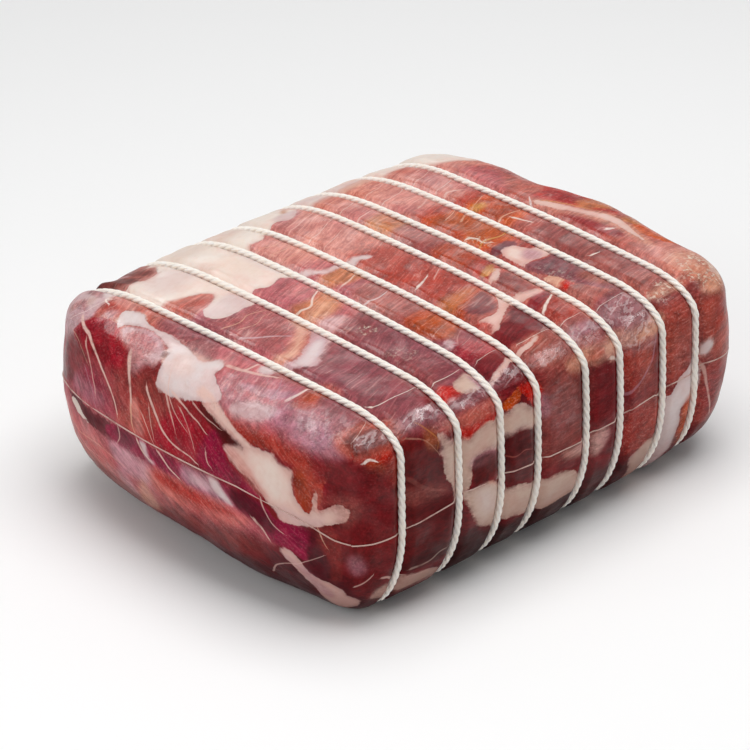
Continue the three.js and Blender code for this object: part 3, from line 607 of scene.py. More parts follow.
VEINS = on_face(Vein, Face.TOP,
    ((-88, 2, -84, -3, -79, -7, -73, -13), 1.2, 0.8, Tone.VEIL),
    ((-88, 14, -80, 12, -72, 15, -64, 12, -60, 14), 0.6, 0.6, Tone.PEACH),
    ((-84, 8, -76, 6, -68, 9, -60, 6), 0.5, 0.5, Tone.PEACH),
    ((-126, 92, -118, 86, -110, 80, -104, 76), 0.6, 0.6, Tone.IVORY),
    ((-105, 72, -103, 77, -101, 73), 0.9, 0.9, Tone.IVORY),
    ((-114, 76, -106, 74, -100, 70), 0.6, 0.7, Tone.GARNET),
    ((-98, 72, -95, 64, -94, 56), 0.6, 0.6, Tone.PEACH),
    ((-110, -48, -102, -50, -92, -50), 1.4, 0.7, Tone.IVORY),
    ((-120, -99, -112, -95, -104, -90, -99, -87), 0.6, 0.7),
    ((94, 7, 97, 11), 0.8, 0.8, Tone.PEARL),
    ((99, 4, 103, -5, 107, -14, 111, -21), 0.9, 0.55, Tone.GOLD),
    ((-28, 58, -20, 56, -13, 60), 0.5, 0.6, Tone.PEACH),
    ((-28, 50, -20, 49, -13, 52), 0.5, 0.6, Tone.PEACH),
    ((-28, 42, -20, 42, -13, 45), 0.4, 0.5, Tone.PEACH),
    ((-7, 62, 0, 64, 8, 68, 16, 70), 0.5, 0.5),
    ((-7, 48, 0, 50, 8, 54, 16, 57), 0.5, 0.6),
    ((-7, 38, 2, 41, 10, 45, 17, 48), 0.5, 0.5),
    ((23, 49, 30, 50, 36, 51, 38, 54), 0.6, 0.7),
    ((23, 61, 30, 62, 37, 65), 0.5, 0.6),
    ((44, 54, 52, 55, 60, 57, 65, 62), 0.6, 0.7),
    ((44, 66, 54, 68, 64, 73), 0.5, 0.6),
    ((52, 38, 58, 40, 65, 44), 0.8, 0.6),
    ((52, 20, 60, 23, 66, 28), 0.4, 0.7, Tone.PEACH),
    ((71, 60, 78, 62, 86, 66), 0.5, 0.6),
    ((71, 40, 76, 41, 81, 38), 1, 0.7),
    ((71, 46, 80, 48, 88, 52), 0.5, 0.6),
    ((70, 4, 78, 5, 84, 4), 0.8, 0.8, Tone.PEACH),
    ((45, -1, 48, -4, 47, -9, 50, -12), 1.1, 0.8, Tone.CREAM),
    ((50, -8, 57, -9, 64, -8), 0.7, 0.8, Tone.GOLD),
    ((66, 16, 68, 12, 67, 6), 1, 0.7, Tone.CREAM),
    ((100, -36, 103, -37), 1.8, 0.9, Tone.IVORY),
    ((-107, -10, -105, -18, -103, -26, -100, -34), 1.6),
    ((-105, -18, -99, -20, -92, -21), 1),
    ((-115, -42, -106, -40, -100, -36), 1, 0.6, Tone.LILAC),
    ((-57, 2, -50, 0, -44, 5, -38, 8, -33, 8), 1, 0.7, Tone.CREAM),
    ((-30, -13, -24, -15, -17, -14), 1, 0.6, Tone.PEARL),
    ((-28, 4, -20, 6, -13, 10), 0.8, 0.6, Tone.CREAM),
    ((-5, -21, 0, -19, 6, -16), 1.1, 0.85, Tone.CREAM),
    ((6, -20, 12, -16, 17, -14), 0.6, 0.5),
    ((24, -71, 30, -67, 37, -63), 1.2, 0.9, Tone.CREAM),
    ((76, 1, 79, -8), 1.4, 0.8, Tone.CREAM),
    ((75, -49, 80, -49.5), 0.9, 0.9, Tone.CREAM),
    ((40, -12, 50, -8, 60, -9, 66, -4), 0.9, 0.7, Tone.GOLD),
    ((56, 14, 66, 20, 72, 22, 82, 27), 0.8, 0.6, Tone.PEACH),
    ((-89, -77, -86, -80, -64, -80, -60, -77), 0.4, 0.85, Tone.CREAM),
    ((-55, -82, -38, -81.5), 0.4, 0.8, Tone.CREAM),
    ((-28, -82, -13, -80.5), 0.35, 0.6, Tone.CREAM),
    ((-5, -83.5, 20, -83), 0.35, 0.6, Tone.CREAM),
    ((23, -83, 38, -82), 0.35, 0.6, Tone.CREAM),
    ((44, -84, 66, -81), 0.35, 0.6, Tone.CREAM),
) + on_face(Vein, Face.FRONT,
    ((-89, 70, -82, 64, -75, 60, -70, 58), 1.6, 0.35, Tone.CLAY),
    ((-79, 92, -75, 87, -72, 82, -73, 79), 0.7, 0.6, Tone.OCHRE),
    ((-88, 88, -80, 85, -75, 80, -72, 76), 0.6, 0.3, Tone.PEACH),
    ((-112, 84, -109, 85, -106, 84), 1.2, 0.9, Tone.IVORY),
    ((-118, 10, -112, 17, -107, 25), 0.9, 0.6),
    ((-102, 23, -99, 23, -94, 17, -89, 18), 1.2, 0.6),
    ((-86, 22, -76, 21, -70, 25, -66, 26), 1.4, 0.4, Tone.BEIGE),
    ((-30, 59, -25, 57.5, -20, 58.5, -14, 57), 0.6, 0.45, Tone.ROSE),
    ((43, 60, 50, 63, 55, 67, 59, 73, 61, 82), 1.2, 0.45, Tone.LILAC),
    ((94, 56, 98, 42, 102, 30, 104, 24), 1.4, 0.6),
    ((34, 82, 38, 80, 41, 76), 1.3, 0.7, Tone.CREAM),
) + on_face(Vein, Face.END,
    ((8, 88.5, 14, 87.6, 22, 85.2, 30, 82.6, 38, 80, 44, 78), 2.6, 0.95),
    ((-80, 84, -70, 82, -60, 76), 0.5, 0.5, Tone.PEACH),
    ((-62, 74, -56, 68, -50, 60), 0.5, 0.6, Tone.LILAC),
    ((-12, 90, -6, 82, 2, 76, 10, 72), 0.5, 0.7),
    ((2, 80, 10, 74, 16, 66), 0.5, 0.6),
    ((-90, 42, -70, 40, -50, 42, -30, 40), 0.8, 0.4, Tone.PEACH),
    ((-84, 34, -66, 32, -48, 34), 0.6, 0.35),
    ((-84, 92, -75, 89, -65, 87, -55, 82, -45, 74, -38, 68, -35, 63), 1.1, 0.95),
    ((-66, 85, -60, 79, -55, 72, -52, 66), 0.8, 0.7),
    ((-38, 89, -33, 83, -29, 76, -27, 71), 1.5, 0.9),
    ((-27, 70, -25, 64, -22, 60), 0.8, 0.8, Tone.PEACH),
    ((-20, 81, -15, 76, -5, 68, 3, 64, 12, 63, 18, 61), 0.9, 0.9),
    ((-16, 74, -9, 62), 0.5, 0.6),
    ((-20, 70, -13, 64, -9, 60), 0.5, 0.7),
    ((-9, 83, -3, 77, 3, 70), 0.8, 0.7),
    ((-5, 84, 5, 81, 14, 78, 20, 75), 0.7),
    ((8, 84, 18, 81, 27, 79), 0.5, 0.6),
    ((22, 68, 23, 65, 26, 62), 0.6, 0.7),
    ((-34, 58, -32, 54, -34, 50), 0.7, 0.6),
    ((-20, 58, -16, 54, -10, 51), 0.8, 0.9),
    ((-6, 58, 0, 54, 8, 50), 0.8, 0.9),
    ((54, 58, 57, 52, 61, 47, 66, 45), 0.6, 0.7),
    ((50, 47, 54, 44, 58, 39), 1.1),
    ((53, 14, 57, 22, 63, 27, 70, 30, 76, 34, 84, 38), 0.7, 0.5),
    ((82, 52, 84, 46, 86, 42), 0.5, 0.7, Tone.PEACH),
) + on_face(Vein, Face.BACK,
    ((-112, 58, -96, 51, -80, 54, -70, 50), 0.7, 0.6, Tone.PINK),
    ((-34, 42, -14, 39, 8, 43, 24, 40), 0.6, 0.5, Tone.SALMON),
    ((44, 70, 58, 64, 70, 66, 84, 58), 0.7, 0.5, Tone.PINK),
    ((-70, 26, -50, 22, -34, 24), 0.7, 0.7),
    ((30, 24, 48, 28, 66, 24), 0.6, 0.7),
    ((-110, 24, -90, 16, -66, 20, -40, 12), 1.2),
    ((0, 16, 20, 8, 46, 6, 80, 14), 1),
) + on_face(Vein, Face.FAR,
    ((-72, 85, -57, 77, -46, 66, -40, 57), 1.1, 0.9),
    ((-56, 89, -40, 80, -28, 68, -22, 58), 0.8),
    ((-44, 74, -38, 66, -34, 60), 0.5, 0.7, Tone.PEACH),
    ((-30, 92, -20, 82, -12, 70), 0.7, 0.7),
    ((-6, 90, 4, 80, 14, 72, 22, 66), 0.9),
    ((20, 90, 28, 82, 40, 76), 0.6, 0.7, Tone.PEACH),
    ((-92, 60, -77, 54, -66, 44), 0.8),
    ((-60, 30, -48, 24, -40, 12), 0.7, 0.7),
    ((0, 30, 16, 26, 30, 28, 44, 24), 0.6, 0.7),
    ((60, 44, 70, 36, 76, 26, 78, 14), 0.9),
    ((-20, 46, -8, 42, 6, 44), 0.5, 0.7, Tone.PEACH),
    ((36, 40, 50, 36, 58, 26), 0.5, 0.6, Tone.PEACH),
) + on_face(Vein, Face.UNDER,
    ((-90, 6, -60, 0, -30, 6, 0, -2), 1.3),
    ((10, 0, 40, 6, 70, -2, 100, 4), 1.2),
)

PRESS_LINES = (
    (Face.FRONT, (-119, 43.5, -108, 44.5, -98, 46.5, -93, 45, -88, 48, -84, 48, -62, 50, -59, 51, -54, 52,
       -38, 51.5, -33, 50, -28, 51, -15, 50, -11, 48.5, -7, 49.5, 15, 49, 20, 48, 24, 50.5, 37, 50.5,
       41, 49.5, 45, 52, 60, 53.5, 66, 51, 72, 54.5, 85, 54.5, 90, 53, 95, 56.5, 115, 53, 127, 52)),
    (Face.END, (-100, 57, -85, 58, -40, 59.2, 0, 59.5, 20, 59.3, 40, 59, 58, 57, 72, 55, 79, 52.5, 90, 47,
       100, 43.8)),
    (Face.BACK, (-127, 50, -100, 51, -60, 49, 0, 50, 60, 51, 119, 56)),
    (Face.FAR, (-100, 52, -60, 50, 0, 49, 60, 50, 100, 50)),
)


@dataclass(frozen=True)
class Loop:
    """Where a loop of twine crosses the middle of the ham, and its lean per mm of width."""

    x: float
    lean: float


@dataclass(frozen=True)
class Lump:
    """An uneven place: its middle, how far it reaches and how far the meat stands out there."""

    at: Point
    radius: float
    rise: float

    def lift(self, points: Array) -> Array:
        """How far it lifts the meat at points."""
        apart = ((points - np.array(self.at, float)) ** 2).sum(axis=1)
        return self.rise * np.exp(-apart / self.radius ** 2)


LOOPS = (
    Loop(-92.9, -0.02),
    Loop(-59.2, -0.007),
    Loop(-32.6, 0.011),
    Loop(-10.7, 0.008),
    Loop(20.0, 0.018),
    Loop(40.6, 0.008),
    Loop(67.0, -0.006),
    Loop(90.3, 0.009),
)

LUMPS = (
    Lump((124, -13, 89), 26, 3.0),
    Lump((124, 35, 89), 18, -1.6),
    Lump((118, 72, 90), 18, -1.6),
    Lump((119, -92, 58), 20, 1.4),
    Lump((123, -86, 85), 14, -1.2),
    Lump((97, -86, 6), 12, -1.8),
    Lump((-115, -32, 10), 24, 2.2),
    Lump((-117, 66, 17), 18, -1.6),
    Lump((-115, 88, 60), 16, 1.5),
    Lump((90, 96, 88), 20, -1.6),
    Lump((-86, 96, 88), 14, -1.4),
    Lump((-46, -88, 90), 12, -1.8),
    Lump((-60, 100, 40), 34, 0.7),
    Lump((45, 100, 52), 30, -1.4),
    Lump((128, 30, 40), 34, 0.4),
    Lump((20, -30, 98), 40, 0.8),
)

DENTS = (
    Lump((-66, -96, 88), 6, -1.2),
    Lump((-57, -92, 93), 5, -0.8),
    Lump((-75, -88, 95), 9, 0.8),
    Lump((-92, 92, 88), 7, 1.6),
    Lump((-84, 96, 84), 6, -1.0),
    Lump((-122, -86, 84), 7, 0.9),
    Lump((-128, 74, 78), 9, -0.9),
    Lump((-110, -96, 62), 12, -0.8),
)


@dataclass
class PressedForm:
    """The outer form of the pressed ham, in millimetres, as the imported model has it.

    A point of the plain block before its edges are rounded names a place on the meat.
    """

    min_x: float = -119.1
    max_x: float = 127.0
    width: float = 200.0
    height: float = 94.8
    round_left: float = 27.0
    round_right: float = 31.5
    round_front: float = 29.7
    round_back: float = 45.0
    round_top: float = 14.0
    round_bottom: float = 47.9
    power: float = 2.2
    crown: float = 3.8
    left_swell: float = 14.9
    right_swell: float = 7.0
    side_swell: float = 2.8
    valley: float = 1.75
    valley_under: float = 3.6
    valley_floor: float = 1.2
    valley_edge: float = 5.6
    meat_rise: float = 1.0

    def corners(self) -> tuple[Array, Array]:
        """The plain block's lowest and highest corners."""
        half = self.width / 2
        return np.array([self.min_x, -half, 0.0]), np.array([self.max_x, half, self.height])

    def on_rounded_block(self, block: Array) -> tuple[Array, Array]:
        """Rounds the block's edges.

        Args:
            block: points on the plain block, one a row.

        Returns:
            The points on the rounded block, and the normals there.
        """
        low = np.array([self.min_x + self.round_left, -self.width / 2 + self.round_front, self.round_bottom])
        high = np.array([self.max_x - self.round_right, self.width / 2 - self.round_back,
                         self.height - self.round_top])
        core = np.clip(block, low, high)
        radii = np.stack([
            np.where(block[:, 0] < 0, self.round_left, self.round_right),
            np.where(block[:, 1] < 0, self.round_front, self.round_back),
            np.where(block[:, 2] < self.height / 2, self.round_bottom, self.round_top),
        ], axis=1)
        across = (block - core) / radii
        length = (np.abs(across) ** self.power).sum(axis=1) ** (1.0 / self.power)
        across /= np.maximum(length, 1e-9)[:, None]
        normals = np.sign(across) * np.abs(across) ** (self.power - 1.0) / radii
        normals /= np.linalg.norm(normals, axis=1)[:, None]
        return core + across * radii, normals

    def swelled(self, points: Array) -> Array:
        """Swells the middles of the faces.

        Args:
            points: points on the rounded block.

        Returns:
            The points on the swelled form.
        """
        middle = (self.min_x + self.max_x) / 2
        u = (points[:, 0] - middle) / (self.max_x - middle)
        v = points[:, 1] / (self.width / 2)
        w = points[:, 2] / (self.height / 2) - 1.0
        fx = np.clip(1.0 - u * u, 0.0, 1.0)
        fy = np.clip(1.0 - v * v, 0.0, 1.0)
        fz = np.clip(1.0 - w * w, 0.0, 1.0)
        level = np.clip(points[:, 2] / self.height, 0.0, 1.0)
        out = points.copy()
        out[:, 2] += self.crown * fx * fy * level * level
        out[:, 0] += np.where(u < 0, -self.left_swell, self.right_swell) * fy * fz * u * u
        out[:, 1] += self.side_swell * np.sign(v) * fx * fz * v * v
        return out

    def pull(self, x: Array) -> Array:
        """How far the loops pull the meat in at x: 1 on a valley's floor, 0 between the loops."""
        nearest = np.min([np.abs(x - loop.x) for loop in LOOPS], axis=0)
        return 1.0 - smoothstep(nearest, self.valley_floor, self.valley_edge)

    def depth(self, normals: Array) -> Array:
        """How deep the valleys are, which is more under the ham, where it lies on them."""
        under = smoothstep(-normals[:, 2], 0.6, 0.98)
        return self.valley + (self.valley_under - self.valley) * under

    def on_meat(self, block: Array) -> tuple[Array, Array]:
        """Places points of the plain block on the meat.

        Args:
            block: points on the plain block, one a row, in millimetres.

        Returns:
            The points on the meat, and the rounded block's normals there.
        """
        shell, normals = self.on_rounded_block(block)
        points = self.swelled(shell)
        standing = 1.0 - smoothstep(-normals[:, 2], 0.85, 0.99)
        along = 1.0 - normals[:, 0] ** 2
        pull = self.pull(block[:, 0])
        rise = along * (self.meat_rise * standing * (1.0 - pull) - self.depth(normals) * pull)
        for lump in LUMPS:
            rise += standing * lump.lift(shell)
        points += normals * rise[:, None]
        lean = np.interp(block[:, 0], [loop.x for loop in LOOPS], [loop.lean for loop in LOOPS])
        points[:, 0] += lean * points[:, 1]
        return points, normals


class Signal:
    """A number that varies over a surface: a socket whose operators add Math nodes."""

    def __init__(self, board: "Board", socket: Socket) -> None:
        """Wraps a socket of a board."""
        self.board = board
        self.socket = socket

    def math(self, operation: str, left: "Signal | float", right: "Signal | float") -> "Signal":
        """Adds a Math node for an operation on two operands."""
        node = self.board.node("ShaderNodeMath", {0: left, 1: right}, operation=operation)
        return Signal(self.board, node.outputs[0])

    def __add__(self, other: "Signal | float") -> "Signal":
        """Adds."""
        return self.math("ADD", self, other)

    def __sub__(self, other: "Signal | float") -> "Signal":
        """Subtracts."""
        return self.math("SUBTRACT", self, other)

    def __rsub__(self, other: float) -> "Signal":
        """Subtracts this from a number."""
        return self.math("SUBTRACT", other, self)

    def __mul__(self, other: "Signal | float") -> "Signal":
        """Multiplies."""
        return self.math("MULTIPLY", self, other)

    def __truediv__(self, other: "Signal | float") -> "Signal":
        """Divides."""
        return self.math("DIVIDE", self, other)

    def __abs__(self) -> "Signal":
        """Drops the sign."""
        return self.math("ABSOLUTE", self, 0.0)


Operand = Signal | Socket | bpy.types.Material | float | str | tuple


class Blend(Enum):
    """How a colour joins the one under it."""

    COVER = "MIX"
    TINT = "MULTIPLY"
    TEXTURE = "OVERLAY"


@dataclass
class Board:
    """A node tree being filled."""

    tree: bpy.types.NodeTree

    def node(self, kind: str, values: dict[int | str, Operand] | None = None, **settings: str) -> Node:
        """Adds a node.

        Args:
            kind: the node's type.
            values: what its inputs hold, by name or number.
            settings: its properties, set first.

        Returns:
            The new node.
        """
        node = self.tree.nodes.new(kind)
        for name, setting in settings.items():
            setattr(node, name, setting)
        self.fill(node, values or {})
        return node

    def fill(self, node: Node, values: dict[int | str, Operand]) -> None:
        """Sets a node's inputs, or links into them.

        Args:
            node: the node.
            values: what its inputs hold, by name or number.
        """
        for key, value in values.items():
            if isinstance(value, Signal):
                value = value.socket
            if isinstance(value, Socket):
                self.tree.links.new(value, node.inputs[key])
            else:
                node.inputs[key].default_value = value

    def signal(self, socket: Socket) -> Signal:
        """Wraps a socket of this tree."""
        return Signal(self, socket)

    def mix(self, factor: Operand, under: Operand, over: Operand, blend: Blend = Blend.COVER) -> Socket:
        """Mixes two colours.

        Args:
            factor: how much of the second shows.
            under: the first colour.
            over: the second colour.
            blend: how they join.

        Returns:
            The mixed colour.
        """
        first, second = ((*colour, 1.0) if isinstance(colour, tuple) else colour for colour in (under, over))
        values = {0: factor, 6: first, 7: second}
        return self.node("ShaderNodeMix", values, data_type="RGBA", blend_type=blend.value).outputs[2]

    def layered(self, colour: Socket, layers: tuple[tuple[Signal, Operand, Blend], ...]) -> Socket:
        """Lays colours over a colour, one after the other.

        Args:
            colour: the colour under them.
            layers: how much of each shows, its colour, and how it joins.

        Returns:
            The colour of them all.
        """
        for cover, over, blend in layers:
            colour = self.mix(cover, colour, over, blend)
        return colour

    def step(self, value: Operand, low: float, high: float) -> Signal:
        """Rises smoothly from 0 to 1.

        Args:
            value: what it follows.
            low: where it leaves 0.
            high: where it reaches 1.

        Returns:
            The number between.
        """
        values = {"Value": value, "From Min": low, "From Max": high}
        node = self.node("ShaderNodeMapRange", values, interpolation_type="SMOOTHSTEP")
        return self.signal(node.outputs["Result"])

    def noise(self, place: Socket, scale: float, detail: float = 2.0, roughness: float = 0.5) -> Signal:
        """Adds a noise with this many features a metre, from 0 to 1."""
        values = {"Vector": place, "Scale": scale, "Detail": detail, "Roughness": roughness}
        return self.signal(self.node("ShaderNodeTexNoise", values).outputs[0])

    def vector(self, operation: str, first: Operand, second: Operand) -> Socket:
        """Adds a Vector Math node, whose second operand is a number where it scales the first."""
        slot = 3 if operation == "SCALE" else 1
        return self.node("ShaderNodeVectorMath", {0: first, slot: second}, operation=operation).outputs[0]

    def swayed(self, place: Socket, scale: float, reach: float) -> Socket:
        """Shifts a place up to a reach in metres by a slow noise, so that a pattern bends."""
        drift = self.node("ShaderNodeTexNoise", {"Vector": place, "Scale": scale, "Detail": 1.0})
        return self.vector("ADD", self.vector("SCALE", drift.outputs["Color"], reach), place)

    def stretched(self, place: Socket, turn: Point, scale: Point) -> Socket:
        """Turns and scales a place, for a pattern that runs one way.

        Args:
            place: the place to change.
            turn: angles about X, Y and Z, in degrees.
            scale: features a metre along the turned X, Y and Z.

        Returns:
            The changed place.
        """
        angles = tuple(math.radians(angle) for angle in turn)
        turned = self.node("ShaderNodeMapping", {"Vector": place, "Rotation": angles}, vector_type="TEXTURE")
        return self.vector("MULTIPLY", turned.outputs[0], scale)

    def attribute(self, name: str) -> Node:
        """Reads an attribute of the piece."""
        return self.node("ShaderNodeAttribute", attribute_name=name)

    def reading(self, name: str) -> Signal:
        """Reads an attribute of the piece that is a number."""
        return self.signal(self.attribute(name).outputs["Fac"])

    def bump(self, height: Operand, relief: float) -> Socket:
        """Adds a Bump node with a relief in metres."""
        values = {"Height": height, "Distance": relief, "Strength": 1.0}
        return self.node("ShaderNodeBump", values).outputs[0]


@dataclass
class Layer:
    """Patches with clear edges that lie beside each other: their colours, and how near the edge is."""

    colour: Array
    edge: Array
    taken: Array


@dataclass
class Strand:
    """Veins that keep apart: signed distance, half width and strength, and their colours."""

    course: Array
    colour: Array
    taken: Array


def add_object(name: str, data: bpy.types.ID) -> bpy.types.Object:
    """Puts an object into the scene.

    Args:
        name: its name.
        data: its mesh, lamp or camera.

    Returns:
        The object.
    """
    added = bpy.data.objects.new(name, data)
    bpy.context.scene.collection.objects.link(added)
    return added


def store_numbers(mesh: bpy.types.Mesh, name: str, numbers: Array) -> None:
    """Stores a number for each point of a mesh, under a name."""
    mesh.attributes.new(name, "FLOAT", "POINT").data.foreach_set("value", numbers.astype(np.float32))


@dataclass
class Paintwork:
    """Works out, for each point of the skin, the colours of the meat and where its edges run."""

    form: PressedForm
    ground: Tone = Tone.ROSE
    soft_edge: float = 1.45
    reach: float = 8.0
    bond: float = 1.6
    vein_start: float = 1.15
    vein_taper: float = 0.65
    vein_tip: float = 2.5
    vein_fade: tuple[float, float] = (3.6, 5.4)

    def apart(self, flat: Array, outline: Array) -> Array:
        """Measures how far points lie from a closed outline.

        Args:
            flat: the points, one a row.
            outline: the outline's corners, one a row.

        Returns:
            The distances, below 0 inside.
        """
        nearest = np.full(len(flat), 1e9)
        inside = np.zeros(len(flat), dtype=bool)
        for start, end in zip(outline, np.roll(outline, -1, axis=0)):
            side = end - start
            along = np.clip((flat - start) @ side / max(side @ side, 1e-9), 0.0, 1.0)
            nearest = np.minimum(nearest, ((flat - start - along[:, None] * side) ** 2).sum(axis=1))
            level = (start[1] > flat[:, 1]) != (end[1] > flat[:, 1])
            rise = side[1] if side[1] else 1e-9
            inside ^= level & (flat[:, 0] < start[0] + (flat[:, 1] - start[1]) * side[0] / rise)
        return np.where(inside, -1.0, 1.0) * np.sqrt(nearest)

    def near(self, flat: Array, outline: Array, margin: float) -> Array:
        """Numbers of the points within a margin of the box around an outline."""
        over = (flat > outline.min(axis=0) - margin) & (flat < outline.max(axis=0) + margin)
        return np.flatnonzero(over.all(axis=1))

    def cover(self, area: Patch | SheenOrCrust, apart: Array) -> Array:
        """How much of an area shows at distances from its outline."""
        return area.strength * (1.0 - smoothstep(apart, -area.soft, area.soft))

    def free_level(self, groups: list[Layer] | list[Strand], rows: Array) -> int:
        """Number of the group past the last one that already holds any of these points."""
        return max((i + 1 for i, group in enumerate(groups) if group.taken[rows].any()), default=0)

    def flesh(self, faces: dict[Face, Array]) -> tuple[Array, list[Layer]]:
        """Paints the patches, one after the other.

        Args:
            faces: the skin's points laid out around each face.

        Returns:
            The soft ground colours, and the layers of patches with clear edges.
        """
        count = len(faces[Face.TOP])
        ground = np.tile(np.array(linear(self.ground.value)), (count, 1))
        layers: list[Layer] = []
        for patch in PATCHES:
            flat = faces[patch.face]
            outline = rounded(patch.outline, True)
            rows = self.near(flat, outline, self.reach * 2)
            apart = self.apart(flat[rows], outline)
            tone = np.array(linear(patch.tone.value))
            if patch.soft > self.soft_edge or patch.strength < 1.0:
                cover = self.cover(patch, apart)
                for colours in [ground] + [layer.colour for layer in layers]:
                    colours[rows] += (tone - colours[rows]) * cover[:, None]
                continue
            claimed = rows[apart < self.bond]
            level = self.free_level(layers, claimed)
            if level == len(layers):
                layers.append(Layer(ground * 0.0 + tone, np.zeros(count), np.zeros(count, dtype=bool)))
            layer = layers[level]
            edge = np.clip(0.5 - apart * 0.5 / patch.soft / (2 * self.reach), 0.0, 1.0)
            higher = edge > layer.edge[rows]
            layer.colour[rows[higher]] = tone
            layer.edge[rows[higher]] = edge[higher]
            layer.taken[claimed] = True
        return ground, layers

    def spread(self, faces: dict[Face, Array], sheen_or_crust_areas: tuple[SheenOrCrust, ...]) -> Array:
        """Says how much painted sheen or crust lies on the meat, from 0 to 1.

        Args:
            faces: the skin's points laid out around each face.
            sheen_or_crust_areas: where it lies.

        Returns:
            A number for each point.
        """
        most = np.zeros(len(faces[Face.TOP]))
        for film in sheen_or_crust_areas:
            apart = self.apart(faces[film.face], rounded(film.outline, True))
            most = np.maximum(most, self.cover(film, apart))
        return most

    def strands(self, faces: dict[Face, Array]) -> list[Strand]:
        """Lays the veins, grouped so that those of one group keep apart.

        Args:
            faces: the skin's points laid out around each face.

        Returns:
            The groups of veins.
        """
        count = len(faces[Face.TOP])
        strands: list[Strand] = []
        for vein in VEINS:
            line = rounded(vein.line, False)
            flat = faces[vein.face]
            rows = self.near(flat, line, VEIN_REACH)
            signed = np.full(len(rows), 1e9)
            past = np.zeros(len(rows))
            run = np.zeros(len(rows))
            passed = 0.0
            for i, (start, end) in enumerate(zip(line, line[1:])):
                side = end - start
                length = max(np.linalg.norm(side), 1e-6)
                offset = flat[rows] - start
                along = offset @ side / length
                gap = offset - np.clip(along, 0.0, length)[:, None] * side / length
                distance = np.linalg.norm(gap, axis=1)
                turn = np.sign(side[0] * offset[:, 1] - side[1] * offset[:, 0])
                closer = distance < np.abs(signed)
                beyond = np.maximum(-along if i == 0 else 0.0, along - length if i == len(line) - 2 else 0.0)
                signed = np.where(closer, distance * turn, signed)
                past = np.where(closer, beyond, past)
                run = np.where(closer, passed + np.clip(along, 0.0, length), run)
                passed += length
            kept = np.abs(signed) < VEIN_REACH
            held = rows[kept]
            level = self.free_level(strands, held)
            if level == len(strands):
                blank = np.tile([1.0, 0.0, 0.0], (count, 1))
                strands.append(Strand(blank, np.zeros((count, 3)), np.zeros(count, dtype=bool)))
            strand = strands[level]
            width = vein.width * (self.vein_start - self.vein_taper * run[kept] / passed)
            tip = 1.0 - smoothstep(past[kept], 0.0, self.vein_tip)
            fade = tip * (1.0 - smoothstep(np.abs(signed[kept]), *self.vein_fade))
            strand.course[held, 0] = 0.5 + signed[kept] / (2 * VEIN_REACH)
            strand.course[held, 1] = width / WIDEST_VEIN
            strand.course[held, 2] = vein.strength * fade
            strand.colour[held] = linear(vein.tone.value)
            strand.taken[held] = True
        return strands

    def store(self, mesh: bpy.types.Mesh, block: Array) -> "Painted":
        """Stores the paintwork on a mesh as colours of its points.

        Args:
            mesh: the skin.
            block: its points on the plain block.

        Returns:
            How many layers and strands there are.
        """
        faces = {face: face.unfold(block, *self.form.corners()) for face in Face}
        for name, sheen_or_crust_areas in (("painted_sheen", PAINTED_SHEEN), ("crust", CRUST)):
            store_numbers(mesh, name, self.spread(faces, sheen_or_crust_areas))
        ground, layers = self.flesh(faces)
        strands = self.strands(faces)
        clear = np.ones(len(block))
        stored = {"ground": (ground, clear)}
        for i, layer in enumerate(layers):
            stored[f"layer_{i}"] = (layer.colour, layer.edge)
        for i, strand in enumerate(strands):
            stored[f"course_{i}"] = (strand.course, clear)
            stored[f"strand_{i}"] = (strand.colour, clear)
        for name, (colour, alpha) in stored.items():
            attribute = mesh.attributes.new(name, "FLOAT_COLOR", "POINT")
            values = np.concatenate([colour, alpha[:, None]], axis=1)
            attribute.data.foreach_set("color", values.astype(np.float32).ravel())
        LOG.info("paintwork: %d layers of patches, %d groups of veins", len(layers), len(strands))
        return Painted(len(layers), len(strands))


@dataclass(frozen=True)
class Painted:
    """How many layers of patches and groups of veins a skin carries."""

    layers: int
    strands: int


def new_material(name: str) -> tuple[bpy.types.Material, Board, Node]:
    """Makes a material.

    Args:
        name: its name.

    Returns:
        The material, the board of its nodes and its main shader.
    """
    material = bpy.data.materials.new(name)
    material.use_nodes = True
    return material, Board(material.node_tree), material.node_tree.nodes["Principled BSDF"]


